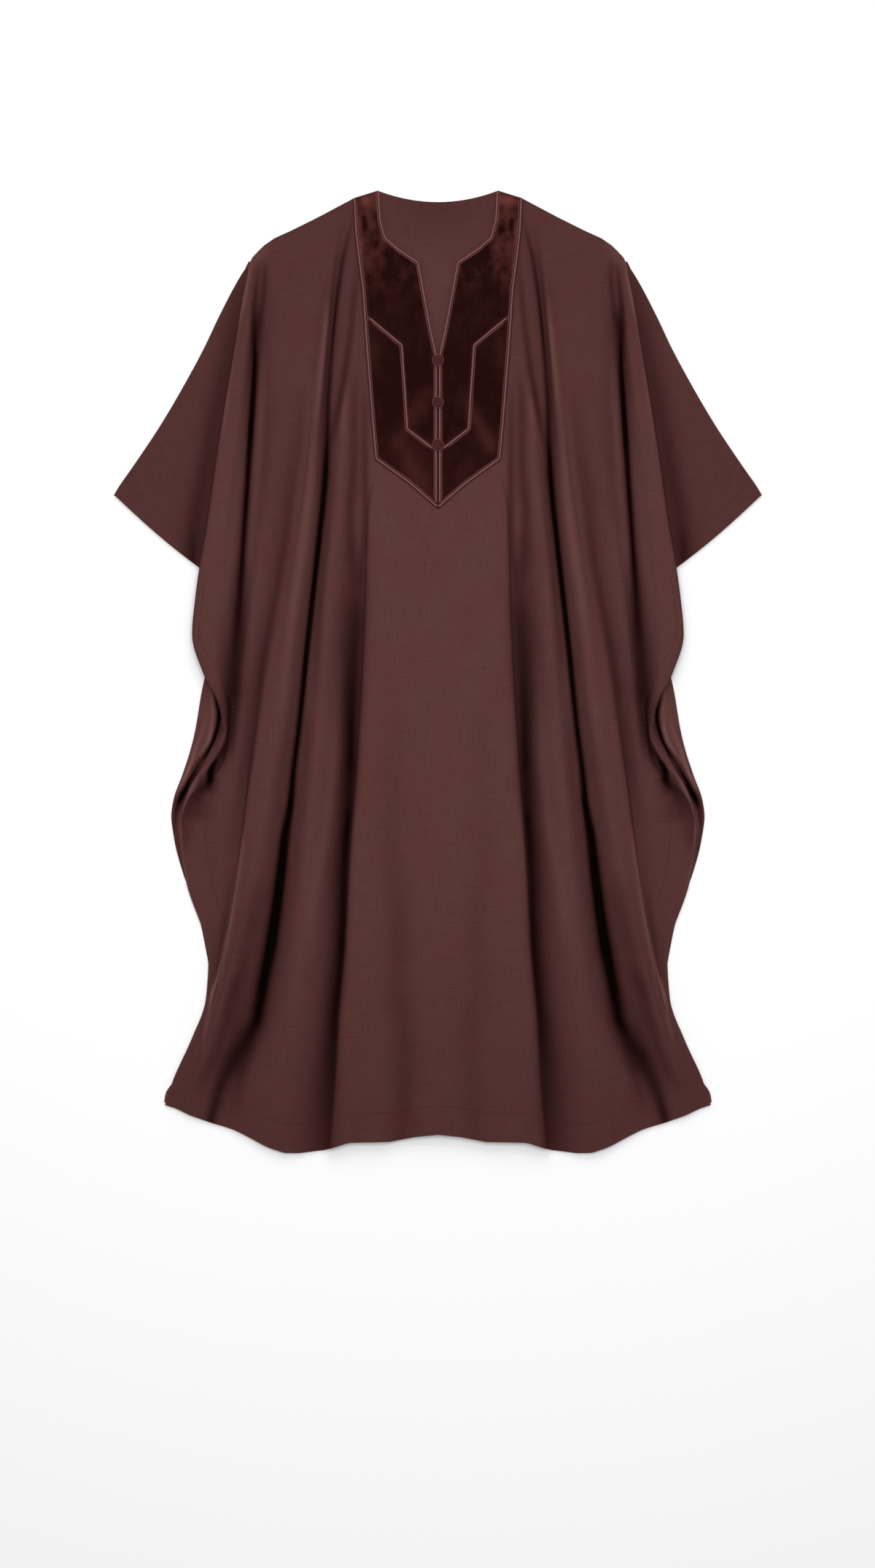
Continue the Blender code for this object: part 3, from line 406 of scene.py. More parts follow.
# Pile brushed light on the velvet, or dark where the strength is negative; the light over the
# shoulder is painted sheen
NAP_STROKES = (
    # painted sheen over the shoulder, thinning out downwards
    (8, 8, ((74, 8, 0.44), (86, 12, 0.49), (98, 15, 0.46))),
    (15, 14, ((84, 22, 0.33), (86, 55, 0.34), (86, 85, 0.24), (83, 112, 0.09), (80, 130, 0))),
    (3, 3.5, ((98, 26, 0.15), (96, 60, 0.3), (94, 95, 0.32), (92, 130, 0.3),
        (90, 158, 0.1)), 0.8, 1),
    (3.5, 3.5, ((91, 36, -0.3), (90, 46, -0.4), (93, 56, -0.25))),
    (5, 5, ((78, 40, -0.15), (79, 52, -0.25), (82, 64, -0.1)), 1, 0.7),
    # soft patches lower down, brushed slantwise from the second button
    (12, 12, ((10, 236, 0), (12, 250, 0.12), (24, 270, 0.18), (38, 292, 0.13), (56, 314, 0.05),
        (70, 330, 0)), 1, 0.1),
    (9, 11, ((24, 240, 0), (31, 257, 0.1), (45, 280, 0.2), (57, 303, 0.23), (66, 319, 0.2),
        (74, 332, 0)), 0, 1),
    (20, 24, ((22, 300, 0), (26, 325, 0.08), (26, 345, 0.1), (20, 362, 0.1),
        (14, 375, 0.07)), 1, 0),
    (10, 11, ((42, 300, 0.02), (46, 316, 0.1), (36, 340, 0.11), (22, 358, 0.11),
        (12, 376, 0.07)), 1, 0.1),
    (9, 10, ((44, 326, 0), (36, 344, 0.08), (24, 372, 0.04)), 0.2, 1),
    (10, 9, ((80, 178, 0.05), (79, 200, 0.12), (74, 228, 0.03))),
    (9, 9, ((60, 130, 0), (56, 142, 0.06), (50, 160, 0)), 1, 0.5),
    # the darkest part, beside the first button
    (44, 22, ((50, 185, 0), (50, 205, -0.04), (52, 250, -0.05), (56, 285, -0.04), (60, 310, 0))),
)
NAP_SEAM_SHEEN = 0.1              # painted sheen: how much lighter the pile is drawn beside a seam
# How strongly brushing has mottled the velvet, by down
MOTTLED_DOWN, MOTTLED = (0, 55, 105, 135, 400), (1.0, 0.9, 0.5, 0.14, 0.1)


# === curves through tables =======================================================================
def smooth(xs, ys, x):
    """Monotone cubic through (xs, ys): no overshoot between the points."""
    last = len(xs) - 1
    x = min(max(x, xs[0]), xs[last])
    steps = [xs[i + 1] - xs[i] for i in range(last)]
    slopes = [(ys[i + 1] - ys[i]) / steps[i] for i in range(last)]

    def tangent(i):
        if i == 0:
            return slopes[0]
        if i == last:
            return slopes[-1]
        if slopes[i - 1] * slopes[i] <= 0:
            return 0.0
        w1 = 2 * steps[i] + steps[i - 1]
        w2 = steps[i] + 2 * steps[i - 1]
        return (w1 + w2) / (w1 / slopes[i - 1] + w2 / slopes[i])

    i = min(bisect.bisect_right(xs, x) - 1, last - 1)
    t = (x - xs[i]) / steps[i]
    return (ys[i] * (1 + 2 * t) * (1 - t) ** 2 + ys[i + 1] * t * t * (3 - 2 * t)
            + steps[i] * t * (1 - t) * (tangent(i) * (1 - t) - tangent(i + 1) * t))


def straight(points, x):
    """Straight line through (x, y) points, held level past both ends."""
    return float(np.interp(x, [p[0] for p in points], [p[1] for p in points]))


def out_at(outline, down):
    """How far out an (out, down) outline is at one place down, corners kept."""
    return straight([(d, o) for o, d in outline], down)


def smooth_out(outline, down):
    """The same, as a smooth curve."""
    return smooth([d for o, d in outline], [o for o, d in outline], down)


# === the front as a surface ======================================================================
LAST_SECTION = len(SECTION_DOWNS) + 1


def column(table, name, names=FOLDS):
    """One fold line's values in a table, section by section."""
    place = names.index(name)
    return [row[place] for row in table]


def section_downs(first_out, last_out):
    """Down of each section: the two ends lie on the shoulder and on the hem, that far out."""
    return [straight(SHOULDER, first_out), *SECTION_DOWNS, straight(HEM, last_out)]


def fold_downs(name):
    """Where one fold line meets each section."""
    outs = column(OUT, name)
    return section_downs(outs[0], outs[-1])


def follow(name, values, down):
    """One of a fold line's values at a place down, as a smooth curve through its sections."""
    return smooth(fold_downs(name), values, down)


def down_at(name, v):
    """Down on a fold line at section number v, which may lie between two sections."""
    downs = fold_downs(name)
    i = min(int(v), LAST_SECTION - 1)
    return downs[i] + (downs[i + 1] - downs[i]) * (v - i)


def section_of(out, down):
    """The section number v of a point near the centre, by its place."""
    downs = section_downs(out, out)
    i = min(max(bisect.bisect_right(downs, down) - 1, 0), LAST_SECTION - 1)
    return i + (down - downs[i]) / (downs[i + 1] - downs[i])


def fold_line(v):
    """One section of half the front as (out, down, rise, turn) at each fold line, brows added.

    A brow is the point just inside a lip, where the wall starts to turn down.
    """
    line = []
    for name in FOLDS:
        down = down_at(name, v)
        out = follow(name, column(OUT, name), down)
        rise = follow(name, column(RISE, name), down)
        turn = 0.0
        if name in ROLL_COLUMNS:
            turn = follow(name, column(ROLL, name, ROLL_COLUMNS), down)
        if name in LIPS:
            line.append((out - LIP_ROUND, down, rise, 0.0))
            rise -= LIP_ROUND * turn / 90
        line.append((out, down, rise, turn))
    return line


def turned_point(a, b, t):
    """A point between two fold lines: a cubic that leaves and arrives at the given turns."""
    reach = math.hypot(b[0] - a[0], b[2] - a[2])
    out0, rise0 = reach * math.cos(math.radians(a[3])), -reach * math.sin(math.radians(a[3]))
    out1, rise1 = reach * math.cos(math.radians(b[3])), -reach * math.sin(math.radians(b[3]))
    h0, h1 = (1 + 2 * t) * (1 - t) ** 2, t * t * (3 - 2 * t)
    g0, g1 = t * (1 - t) ** 2, -t * t * (1 - t)
    return (h0 * a[0] + h1 * b[0] + g0 * out0 + g1 * out1,
            a[1] + (b[1] - a[1]) * t,
            h0 * a[2] + h1 * b[2] + g0 * rise0 + g1 * rise1)


def neck_out(down):
    """The inner edge of the front: the neck line, then the slit, then the centre line."""
    if down >= SLIT_END:
        return 0.0
    return max(out_at(NECK, down) - CORD_RADIUS / 2, SLIT_HALF)


def on_ends(out, down, v):
    """Down, with the first row brought onto the shoulder line and the last onto the hem."""
    if v < 1:
        return straight(SHOULDER, out) * (1 - v) + SECTION_DOWNS[0] * v
    past = v - (LAST_SECTION - 1)
    if past > 0:
        return SECTION_DOWNS[-1] * (1 - past) + straight(HEM, out) * past
    return down


def front_row(v):
    """Half a row of the front wall's middle as (out, down, rise), centre first."""
    marks = fold_line(v)
    inner_down = on_ends(0.0, marks[0][1], v)
    marks.insert(0, (neck_out(inner_down), inner_down, marks[0][2], 0.0))
    row = []
    for i, steps in enumerate(COLUMN_STEPS):
        stops = [s / steps for s in range(steps)]
        width = math.dist(marks[i][:3], marks[i + 1][:3])
        if i == 0:
            stops.insert(1, EDGE_BAND / width)
        if i == len(COLUMN_STEPS) - 1:
            stops.append(1 - min(EDGE_BAND / width, 0.5 / steps))
        row += [turned_point(marks[i], marks[i + 1], t) for t in stops]
    row.append(marks[-1][:3])
    return [(out, on_ends(out, down, v), rise) for out, down, rise in row]


def bib_top(out, down):
    """Height of the front's upper face under the bib."""
    lip_down = down_at("lip", section_of(out, down))
    return FRONT_FLOOR + follow("lip", column(RISE, "lip"), lip_down) + CLOTH / 2


def section_rows(spacing):
    """Section numbers of the rows of faces, closest where folds run slantwise, with a thin band at
    each end."""
    downs = [0.0, *SECTION_DOWNS, ROBE_LENGTH]
    rows = [0.0, EDGE_BAND / downs[1]]
    for i, (a, b) in enumerate(zip(downs, downs[1:])):
        steps = math.ceil((b - a) / (spacing * straight(ROW_WIDTHS, (a + b) / 2)))
        rows += [i + s / steps for s in range(steps) if i + s > 0]
    return rows + [LAST_SECTION - EDGE_BAND / (downs[-1] - downs[-2]), float(LAST_SECTION)]


# === creases, and strokes of painted shade and highlight =========================================
def stroke_field(x, down, strokes):
    """Sum of soft strokes at signed places x: each follows its course, mirrored to both sides."""
    total = np.zeros_like(x)
    for stroke in strokes:
        inner, outer, course, right, left = (*stroke, 1, 1)[:5]
        stops = [(*stop, 1)[:4] for stop in course]
        for side, strength in ((-1, right), (1, left)):
            nearest = np.full_like(x, np.inf)
            value = np.zeros_like(x)
            for (o0, d0, h0, w0), (o1, d1, h1, w1) in zip(stops, stops[1:]):
                run = (o1 - o0, d1 - d0)
                run_length = math.hypot(*run)
                out = side * x - o0
                along_run = (out * run[0] + (down - d0) * run[1]) / run_length ** 2
                t = np.clip(along_run, 0, 1)
                off = np.hypot(out - t * run[0], down - d0 - t * run[1])
                outwards = (out * run[1] - (down - d0) * run[0]) > 0
                reach = np.where(outwards, outer, inner) * (w0 + (w1 - w0) * t)
                here = (h0 + (h1 - h0) * t) * np.exp(-(off / reach) ** 2)
                value = np.where(off < nearest, here, value)
                nearest = np.minimum(off, nearest)
            total += strength * value
    return total


DARKEST_SHADE = 0.985       # the most of the light that one stroke takes


def shaded(x, down, strokes):
    """What is left of the light under the strokes of shade."""
    left_over = np.ones_like(x)
    for stroke in strokes:
        left_over *= 1 - np.clip(stroke_field(x, down, (stroke,)), 0, DARKEST_SHADE)
    return left_over


def painted_lie_shade(x, down):
    """Painted shade over the front's broad lie: the share of light left, by down and by distance
    out.
    """
    downs = [row[0] for row in FRONT_LIE_SHADE]
    shares = np.array([np.interp(down.ravel(), downs, [row[c] for row in FRONT_LIE_SHADE])
                       for c in range(1, len(LIE_OUT) + 1)])
    place = np.interp(np.abs(x).ravel(), LIE_OUT, np.arange(len(LIE_OUT)))
    low = np.minimum(place.astype(int), len(LIE_OUT) - 2)
    part = place - low
    picked = np.arange(place.size)
    share = shares[low, picked] * (1 - part) + shares[low + 1, picked] * part
    return share.reshape(x.shape)


# For the painted shade of the folds, worked out from their heights
FOLD_DEEPENING = 1.3        # cloth laid flat is this much shallower than the folds it was worn in
SKY_BEND = 2.2              # light bounced between the folds clears their upper slopes
LEAST_AWAY = 0.8            # points of a fold closer together than this don't hide more sky
SKY_BLURS = 2               # how often the open sky is softened from point to point


def sky_share(x, height):
    """For each point of each row, how much open sky the folds beside it leave, 1 on a flat."""
    shares = np.ones_like(height)
    for r in range(len(x)):
        away = x[r][None, :] - x[r][:, None]
        climb = FOLD_DEEPENING * (height[r][None, :] - height[r][:, None])
        distance = np.maximum(np.abs(away), LEAST_AWAY)
        steep = np.maximum(climb, 0.0) / distance
        left = np.where(away < 0, steep, 0.0).max(axis=1)
        right = np.where(away > 0, steep, 0.0).max(axis=1)
        shares[r] = (np.cos(np.arctan(left)) + np.cos(np.arctan(right))) / 2
    return 1 - (1 - shares) ** SKY_BEND


def blurred(grid, times):
    """A grid's values, softened along its rows and columns."""
    for _ in range(times):
        padded = np.pad(grid, 1, mode="edge")
        grid = (padded[1:-1, :-2] + padded[1:-1, 2:] + padded[:-2, 1:-1] + padded[2:, 1:-1]
                + 4 * padded[1:-1, 1:-1]) / 8
    return grid


# === meshes ======================================================================================
def world(x, down, height):
    """Points in world metres, for signed x in millimetres."""
    return np.stack([x * MM, (ROBE_LENGTH / 2 - down) * MM, height * MM], axis=-1)


def run_lengths(points, axis):
    """Distance from the first row (axis 0) or column (axis 1) to each point, along the cloth."""
    steps = np.linalg.norm(np.diff(points, axis=axis), axis=-1)
    first = np.zeros_like(np.take(steps, [0], axis=axis))
    return np.concatenate([first, np.cumsum(steps, axis=axis)], axis=axis)


def grid_faces(rows, columns, skip=(), side=1):
    """Faces of a grid, counter-clockwise from above where down runs with the rows and x with the
    columns, or against them on side -1; the strips that start at the columns in skip stay open."""
    firsts = [r * columns + c for r in range(rows - 1) for c in range(columns - 1) if c not in skip]
    faces = [(i, i + columns, i + columns + 1, i + 1) for i in firsts]
    return faces if side > 0 else [face[::-1] for face in faces]


def new_object(name, data):
    """An object in the scene, at the origin until it is placed."""
    obj = bpy.data.objects.new(name, data)
    bpy.context.scene.collection.objects.link(obj)
    return obj


def new_piece(name, points, faces, uv, materials, attributes=None, uv_at_corners=False):
    """An object of the robe with its cloth map in metres, for its points or for the corners of its
    faces, and with its point attributes."""
    mesh = bpy.data.meshes.new(name)
    mesh.from_pydata(np.asarray(points).reshape(-1, 3).tolist(), [], faces)
    uv = np.asarray(uv, dtype=np.float32).reshape(-1, 2)
    if not uv_at_corners:
        corners = np.empty(len(mesh.loops), dtype=np.int32)
        mesh.loops.foreach_get("vertex_index", corners)
        uv = uv[corners]
    mesh.uv_layers.new(name="cloth").data.foreach_set("uv", uv.ravel())
    for attribute, values in (attributes or {}).items():
        layer = mesh.attributes.new(attribute, "FLOAT", "POINT")
        layer.data.foreach_set("value", np.asarray(values, dtype=np.float32).ravel())
    for mat in materials:
        mesh.materials.append(mat)
    mesh.shade_smooth()
    return new_object(name, mesh)


WELD = 1e-6                 # metres within which two points are one


def weld_centre(obj):
    """Joins the two halves of a sheet where they meet on the centre line."""
    bm = bmesh.new()
    bm.from_mesh(obj.data)
    middle = [v for v in bm.verts if abs(v.co.x) < WELD]
    bmesh.ops.remove_doubles(bm, verts=middle, dist=WELD)
    bm.to_mesh(obj.data)
    bm.free()


def give_wall(obj, thickness):
    """Makes an open sheet a closed cloth wall, half its thickness on each side."""
    solid = obj.modifiers.new("Wall", "SOLIDIFY")
    solid.thickness = thickness
    solid.offset = 0.0
    solid.use_even_offset = False
    apply_modifiers(obj)


def select_only(obj):
    bpy.ops.object.select_all(action="DESELECT")
    obj.select_set(True)
    bpy.context.view_layer.objects.active = obj


def apply_modifiers(obj):
    select_only(obj)
    for modifier in list(obj.modifiers):
        bpy.ops.object.modifier_apply(modifier=modifier.name)


SURFACES = {}               # a sheet's name: its rows of points, and how far each is from its hem


def remember(obj, points, edge_distance):
    """Keeps what the hems are sewn along."""
    SURFACES[obj.name] = (points, edge_distance)


# === making the cloth ============================================================================
CREASES_START = 6           # width past the bib's edge over which the soft creases come in
FAR = 1.0                   # metres from an open side or from the bib, where there is none


def mirrored(half, single=0):
    """Whole rows of x, down and height from half rows, whose first few points stay single."""
    other = half[:, single:][:, ::-1] * (-1, 1, 1)
    return np.moveaxis(np.concatenate([other, half], axis=1), -1, 0)


def from_centre(points):
    """Distance from the centre line across the cloth, along its folds."""
    across = run_lengths(points, 1)
    middle = points.shape[1] // 2
    return across - across[:, middle:middle + 1]


def from_hems(sizes, points, across, down):
    """Distance from the hem or an open side, as if both hems were turned up equally deep."""
    down_cloth = run_lengths(points, 0)
    from_side = np.minimum(across - across[:, :1], across[:, -1:] - across)
    from_side = from_side * sizes.hem_depth / sizes.side_hem_depth
    from_side = np.where(down > SLEEVE_SEAM_DOWN[1], from_side, FAR)
    return np.minimum(down_cloth[-1:, :] - down_cloth, from_side)


def build_front(sizes):
    """The front: one sheet through all its folds, slit down to the end of the bib."""
    half = np.array([front_row(v) for v in section_rows(sizes.row_spacing / MM)])
    x, down, rise = mirrored(half)
    bib_side = np.interp(down, [p[1] for p in BIB_EDGE], [p[0] for p in BIB_EDGE])
    past_bib = np.clip((np.abs(x) - bib_side) / CREASES_START, 0, 1)
    past_bib = np.where(down > BIB_EDGE[-1][1] + CREASES_START, 1.0, past_bib)
    rise = np.maximum(rise - past_bib * stroke_field(x, down, FRONT_CREASES), 0)
    height = FRONT_FLOOR + rise
    points = world(x, down, height)
    across = from_centre(points)
    # painted shade: the fold attribute darkens the cloth by the open sky between the folds, the
    # strokes of FRONT_SHADE and the broad lie
    fold = blurred(sky_share(x, height), SKY_BLURS) * shaded(x, down, FRONT_SHADE)
    attributes = {
        "fold": fold * painted_lie_shade(x, down),
        # painted highlights on crisp edges and ridges
        "crest": stroke_field(x, down, FRONT_PAINTED_HIGHLIGHTS),
        "edge_distance": from_hems(sizes, points, across, down),
        "bib_distance": bib_distance(x, down) * MM,
    }
    faces = grid_faces(*x.shape, skip=(x.shape[1] // 2 - 1,))
    obj = new_piece("robe_front", points, faces, np.stack([across, -down * MM], -1),
                    [material("robe_cloth")], attributes)
    weld_centre(obj)
    give_wall(obj, sizes.cloth_wall)
    remember(obj, points, attributes["edge_distance"])
    return obj


def bib_distance(x, down):
    """How far outside the bib's edge each point lies, in millimetres."""
    out = np.abs(x)
    nearest = np.full_like(out, np.inf)
    for (o0, d0), (o1, d1) in zip(BIB_EDGE, BIB_EDGE[1:]):
        run = (o1 - o0, d1 - d0)
        along_run = (out - o0) * run[0] + (down - d0) * run[1]
        t = np.clip(along_run / (run[0] ** 2 + run[1] ** 2), 0, 1)
        nearest = np.minimum(nearest, np.hypot(out - o0 - t * run[0], down - d0 - t * run[1]))
    return nearest


BACK_ROWS = 240
BACK_BODY_STEPS = 24
BACK_SIDE_STEPS = 20
NECK_DROP = 15.0            # how far the back neckline dips below the neck points
BACK_HEM_SHORT = 3.0        # how far the back's hem stops above the front's
BACK_CREST_RISE = 7.5       # height of the roll beside each open side
BACK_CREST_FOOT = 6.0       # from the roll's crest in to where it meets the flat
BACK_CREST_DOWN = (600, 783)
BACK_CREST_BROW = 2.5       # from its crest in to its brow
# The roll's height at its brow, on its crest, half-way from there to the back's own edge and on
# that edge, as shares of its rise
BACK_CREST_SHARES = (0.6, 1.0, 0.75, 0.12)
BACK_CREST_SPREAD = 0.7     # under 1, the roll fills out sooner from its ends
# How closely the shoulder's and the hem's slant keep to the back's two ends, as powers
BACK_TOP_FADE, BACK_HEM_FADE = 6, 12


def seam_out(down):
    """How far out the sleeve seam lies."""
    return follow("edge", column(OUT, "edge"), down)


def back_side(down):
    """Outer edge of the back: along the sleeve seam, then the free side."""
    if down < BACK_SIDE[0][1]:
        return seam_out(down)
    return smooth_out(BACK_SIDE, down)


def back_high(out):
    """Down of the back's top edge: the neckline, then the shoulder."""
    neck_point = SHOULDER[0][0]
    high = straight(SHOULDER, out)
    if out < neck_point:
        high = NECK_DROP + (high - NECK_DROP) * (out / neck_point) ** 2
    return high


def back_row(share_down):
    """Half a row of the back wall's middle: flat, with a soft roll near the open side."""
    first, last = SHOULDER[-1][1], BACK_SIDE[-1][1]
    side_down = first + (last - first) * share_down
    side = back_side(side_down)
    crest = min(smooth_out(BACK_CREST, side_down), side - BACK_CREST_FOOT)
    roll_share = (side_down - BACK_CREST_DOWN[0]) / (BACK_CREST_DOWN[1] - BACK_CREST_DOWN[0])
    arch = math.sin(math.pi * min(max(roll_share, 0), 1))
    swell = BACK_CREST_RISE * arch ** BACK_CREST_SPREAD
    body = crest - BACK_CREST_FOOT
    profile_outs = (body, crest - BACK_CREST_BROW, crest, (crest + side) / 2, side)
    row = [(body * s / BACK_BODY_STEPS, 0.0) for s in range(BACK_BODY_STEPS)]
    stops = [s / BACK_SIDE_STEPS for s in range(BACK_SIDE_STEPS)]
    stops += [1 - EDGE_BAND / (side - body), 1.0]
    for t in stops:
        out = body + (side - body) * t
        row.append((out, swell * smooth(profile_outs, (0, *BACK_CREST_SHARES), out)))
    placed = []
    for out, rise in row:
        down = side_down + (back_high(out) - first) * (1 - share_down) ** BACK_TOP_FADE
        down += (straight(HEM, out) - BACK_HEM_SHORT - last) * share_down ** BACK_HEM_FADE
        placed.append((out, down, CLOTH / 2 + rise))
    return placed


def build_back(sizes):
    """The back: a flat sheet with a soft roll beside each open side."""
    band = EDGE_BAND / ROBE_LENGTH
    shares = [0.0, band] + [r / BACK_ROWS for r in range(1, BACK_ROWS)] + [1 - band, 1.0]
    half = np.array([back_row(s) for s in shares])
    x, down, height = mirrored(half, 1)
    height = np.maximum(height - stroke_field(x, down, BACK_CREASES), CLOTH / 2)
    points = world(x, down, height)
    across = from_centre(points)
    attributes = {
        # painted shade of the back's folds and of the side gap
        "fold": blurred(sky_share(x, height), SKY_BLURS) * shaded(x, down, BACK_SHADE),
        # painted highlights on the back's rolls
        "crest": stroke_field(x, down, BACK_PAINTED_HIGHLIGHTS),
        "edge_distance": from_hems(sizes, points, across, down),
        "bib_distance": np.full_like(x, FAR),
    }
    obj = new_piece("robe_back", points, grid_faces(*x.shape), np.stack([across, -down * MM], -1),
                    [material("robe_cloth")], attributes)
    give_wall(obj, sizes.cloth_wall)
    return obj


SLEEVE_ROWS = 64
SLEEVE_TOP_STEPS = 30
SLEEVE_FOLD_STEPS = 6
SLEEVE_LOW_STEPS = 12
SLEEVE_SEAM_DOWN = (90, 478)
SLEEVE_LIE = 3.2            # middle of the upper layer at the seam, above the surface
SLEEVE_FOLD_LIE = 2.9       # the same beside the fold at the top edge
SLEEVE_FOLD_ROUND = 0.9     # how far the fold reaches past the layers
SLEEVE_LEAST_WIDTH = 0.8    # of the sleeve's first row, at the shoulder
SLEEVE_LOW_GAP = 0.8        # how far the lower layer stands off the back's side seam
SLEEVE_HEM_BOW = 4.0        # how far the hem bows past the straight line between its corners
SLEEVE_BOW_FADE = 8         # how closely the bow keeps to the hem, as a power


def sleeve_row(share_down):
    """One row round the folded sleeve: upper layer from the seam out, fold, lower layer back."""
    seam_down = SLEEVE_SEAM_DOWN[0] + (SLEEVE_SEAM_DOWN[1] - SLEEVE_SEAM_DOWN[0]) * share_down
    inner = seam_out(seam_down) + SEAM
    fold_down = SLEEVE_TOP[0][1] + (SLEEVE_TOP[-1][1] - SLEEVE_TOP[0][1]) * share_down
    fold = smooth_out(SLEEVE_TOP, fold_down) - SLEEVE_FOLD_ROUND - CLOTH / 4
    fold = max(fold, inner + SLEEVE_LEAST_WIDTH)
    low = CLOTH / 2

    def across(t, start, height):
        bow = SLEEVE_HEM_BOW * math.sin(math.pi * t) * share_down ** SLEEVE_BOW_FADE
        return (start + (fold - start) * t, seam_down + (fold_down - seam_down) * t + bow, height)

    row = []
    for s in range(SLEEVE_TOP_STEPS + 1):
        t = s / SLEEVE_TOP_STEPS
        row.append(across(t, inner, SLEEVE_LIE + (SLEEVE_FOLD_LIE - SLEEVE_LIE) * t))
    middle, radius = (SLEEVE_FOLD_LIE + low) / 2, (SLEEVE_FOLD_LIE - low) / 2
    for s in range(1, SLEEVE_FOLD_STEPS):
        angle = math.pi * s / SLEEVE_FOLD_STEPS
        row.append((fold + SLEEVE_FOLD_ROUND * math.sin(angle), fold_down,
                    middle + radius * math.cos(angle)))
    for s in range(SLEEVE_LOW_STEPS + 1):
        row.append(across(1 - s / SLEEVE_LOW_STEPS, inner + SLEEVE_LOW_GAP, low))
    return row


def build_sleeve(sizes, label, side):
    """A sleeve: one sheet doubled on its upper edge."""
    band = EDGE_BAND / (SLEEVE_SEAM_DOWN[1] - SLEEVE_SEAM_DOWN[0])
    shares = [r / SLEEVE_ROWS for r in range(SLEEVE_ROWS)] + [1 - band, 1.0]
    grid = np.array([sleeve_row(s) for s in shares])
    x, down, height = side * grid[..., 0], grid[..., 1], grid[..., 2]
    points = world(x, down, height)
    across = run_lengths(points, 1)
    down_cloth = run_lengths(points, 0)
    upper = np.arange(x.shape[1]) <= SLEEVE_TOP_STEPS
    attributes = {
        # painted shade on the sleeves' upper layer
        "fold": np.where(upper, shaded(x, down, SLEEVE_SHADE) * SLEEVE_PAINTED_LIGHT, 1.0),
        "edge_distance": (down_cloth[-1:, :] - down_cloth) * sizes.hem_depth
                         / sizes.sleeve_hem_depth,
        "bib_distance": np.full_like(x, FAR),
    }
    obj = new_piece("robe_sleeve_" + label, points, grid_faces(*x.shape, side=side),
                    np.stack([across, -down_cloth], -1), [material("robe_cloth")], attributes)
    give_wall(obj, sizes.cloth_wall)
    shown = slice(0, SLEEVE_TOP_STEPS + 1)
    remember(obj, points[:, shown], attributes["edge_distance"][:, shown])
    return obj


# === making the bib ==============================================================================
def along(points, count):
    """Points evenly spaced along a polyline, the corners snapped to the nearest."""
    lengths = [0.0]
    for a, b in zip(points, points[1:]):
        lengths.append(lengths[-1] + math.dist(a, b))
    stops = [lengths[-1] * i / (count - 1) for i in range(count)]
    for corner in lengths[1:-1]:
        nearest = min(range(1, count - 1), key=lambda i: abs(stops[i] - corner))
        stops[nearest] = corner
    result = []
    for stop in stops:
        i = min(bisect.bisect_right(lengths, stop) - 1, len(points) - 2)
        t = (stop - lengths[i]) / (lengths[i + 1] - lengths[i])
        result.append(tuple(a + (b - a) * t for a, b in zip(points[i], points[i + 1])))
    return result


def inset(points, distance):
    """An open (out, down) polyline moved sideways, outwards where it runs down, if distance > 0."""
    moved = []
    for i, (x, y) in enumerate(points):
        normals = []
        for a, b in ((i - 1, i), (i, i + 1)):
            if a >= 0 and b < len(points):
                dx, dy = points[b][0] - points[a][0], points[b][1] - points[a][1]
                run = math.hypot(dx, dy)
                normals.append((dy / run, -dx / run))
        nx = sum(n[0] for n in normals) / len(normals)
        ny = sum(n[1] for n in normals) / len(normals)
        scale = distance / (nx * nx + ny * ny)
        moved.append((x + nx * scale, y + ny * scale))
    return moved


BIB_SIDE_STEPS = 150
BIB_CROSS_STEPS = 30
BIB_END_GAP = 0.5                           # from the shoulder line to the velvet's end
CORD_GAP = CORD_RADIUS + SEAM + 0.2         # from a cord's middle to the velvet's edge
CENTRE_CORD_OUT = 2.3                       # cords beside the slit, from the centre line
CENTRE_CORD_DOWN = (206, 387.6)             # where the neck cord turns down the slit, and ends
YOKE_END_DOWN = 318
BORDER_START = 4.0                          # down from where the inner cord starts
BORDER_POINT = 1.0                          # width of the border's upper point
BORDER_SLIT_DOWN = (324, 385.6)             # the border's stretch beside the slit
EDGE_CORD_ENDS = ((103, 11), (0.4, 392.5))  # just short of the shoulder and of the other side
INNER_CORD_ENDS = ((84.4, 159.4), (6.4, 320.6))     # just short of the edge and slit cords
PUCKER_STEP = 7.0           # from one pucker of a velvet seam to the next
PUCKER_HEIGHT = 0.16
PUCKER_DRIFT, PUCKER_DRIFT_STEP = 1.7, 23   # puckers come closer and part again, in that rhythm
PUCKER_REACH = 5.0          # how far a pucker runs from its seam
SEAM_SHEEN_REACH = 2.4       # reach of the painted sheen beside a seam
CROWN_REACH = 4.0           # from a seam, how soon the velvet swells to its crown


def yoke_outline():
    """Outer and inner edges of the upper bib piece."""
    slit_edge = CENTRE_CORD_OUT + CORD_GAP
    side_edge = [p for p in BIB_EDGE if p[1] < BIB_INNER[0][1]]
    outer = inset(side_edge + list(BIB_INNER), -CORD_GAP)
    slit = [(CENTRE_CORD_OUT, down) for down in (CENTRE_CORD_DOWN[0], YOKE_END_DOWN)]
    inner = inset(list(NECK[:-1]) + slit, CORD_GAP)
    outer[-1] = (slit_edge, inner[-1][1] + BIB_END_GAP)
    for edge in (outer, inner):
        edge[0] = (edge[0][0], straight(SHOULDER, edge[0][0]) + BIB_END_GAP)
    return outer, inner


def border_outline():
    """Outer and inner edges of the lower bib piece, which ends in a point at the top."""
    slit_edge = CENTRE_CORD_OUT + CORD_GAP
    side_edge = [p for p in BIB_EDGE if p[1] > BIB_INNER[0][1]]
    start_down = BIB_INNER[0][1] + BORDER_START
    start = (out_at(BIB_EDGE, start_down), start_down)
    outer = inset([start] + side_edge, -CORD_GAP)
    inner = inset(list(BIB_INNER), CORD_GAP)
    inner[0] = (outer[0][0] - BORDER_POINT, outer[0][1])
    inner[-1] = (slit_edge, BORDER_SLIT_DOWN[0])
    outer[-1] = (slit_edge, BORDER_SLIT_DOWN[1])
    return outer, inner


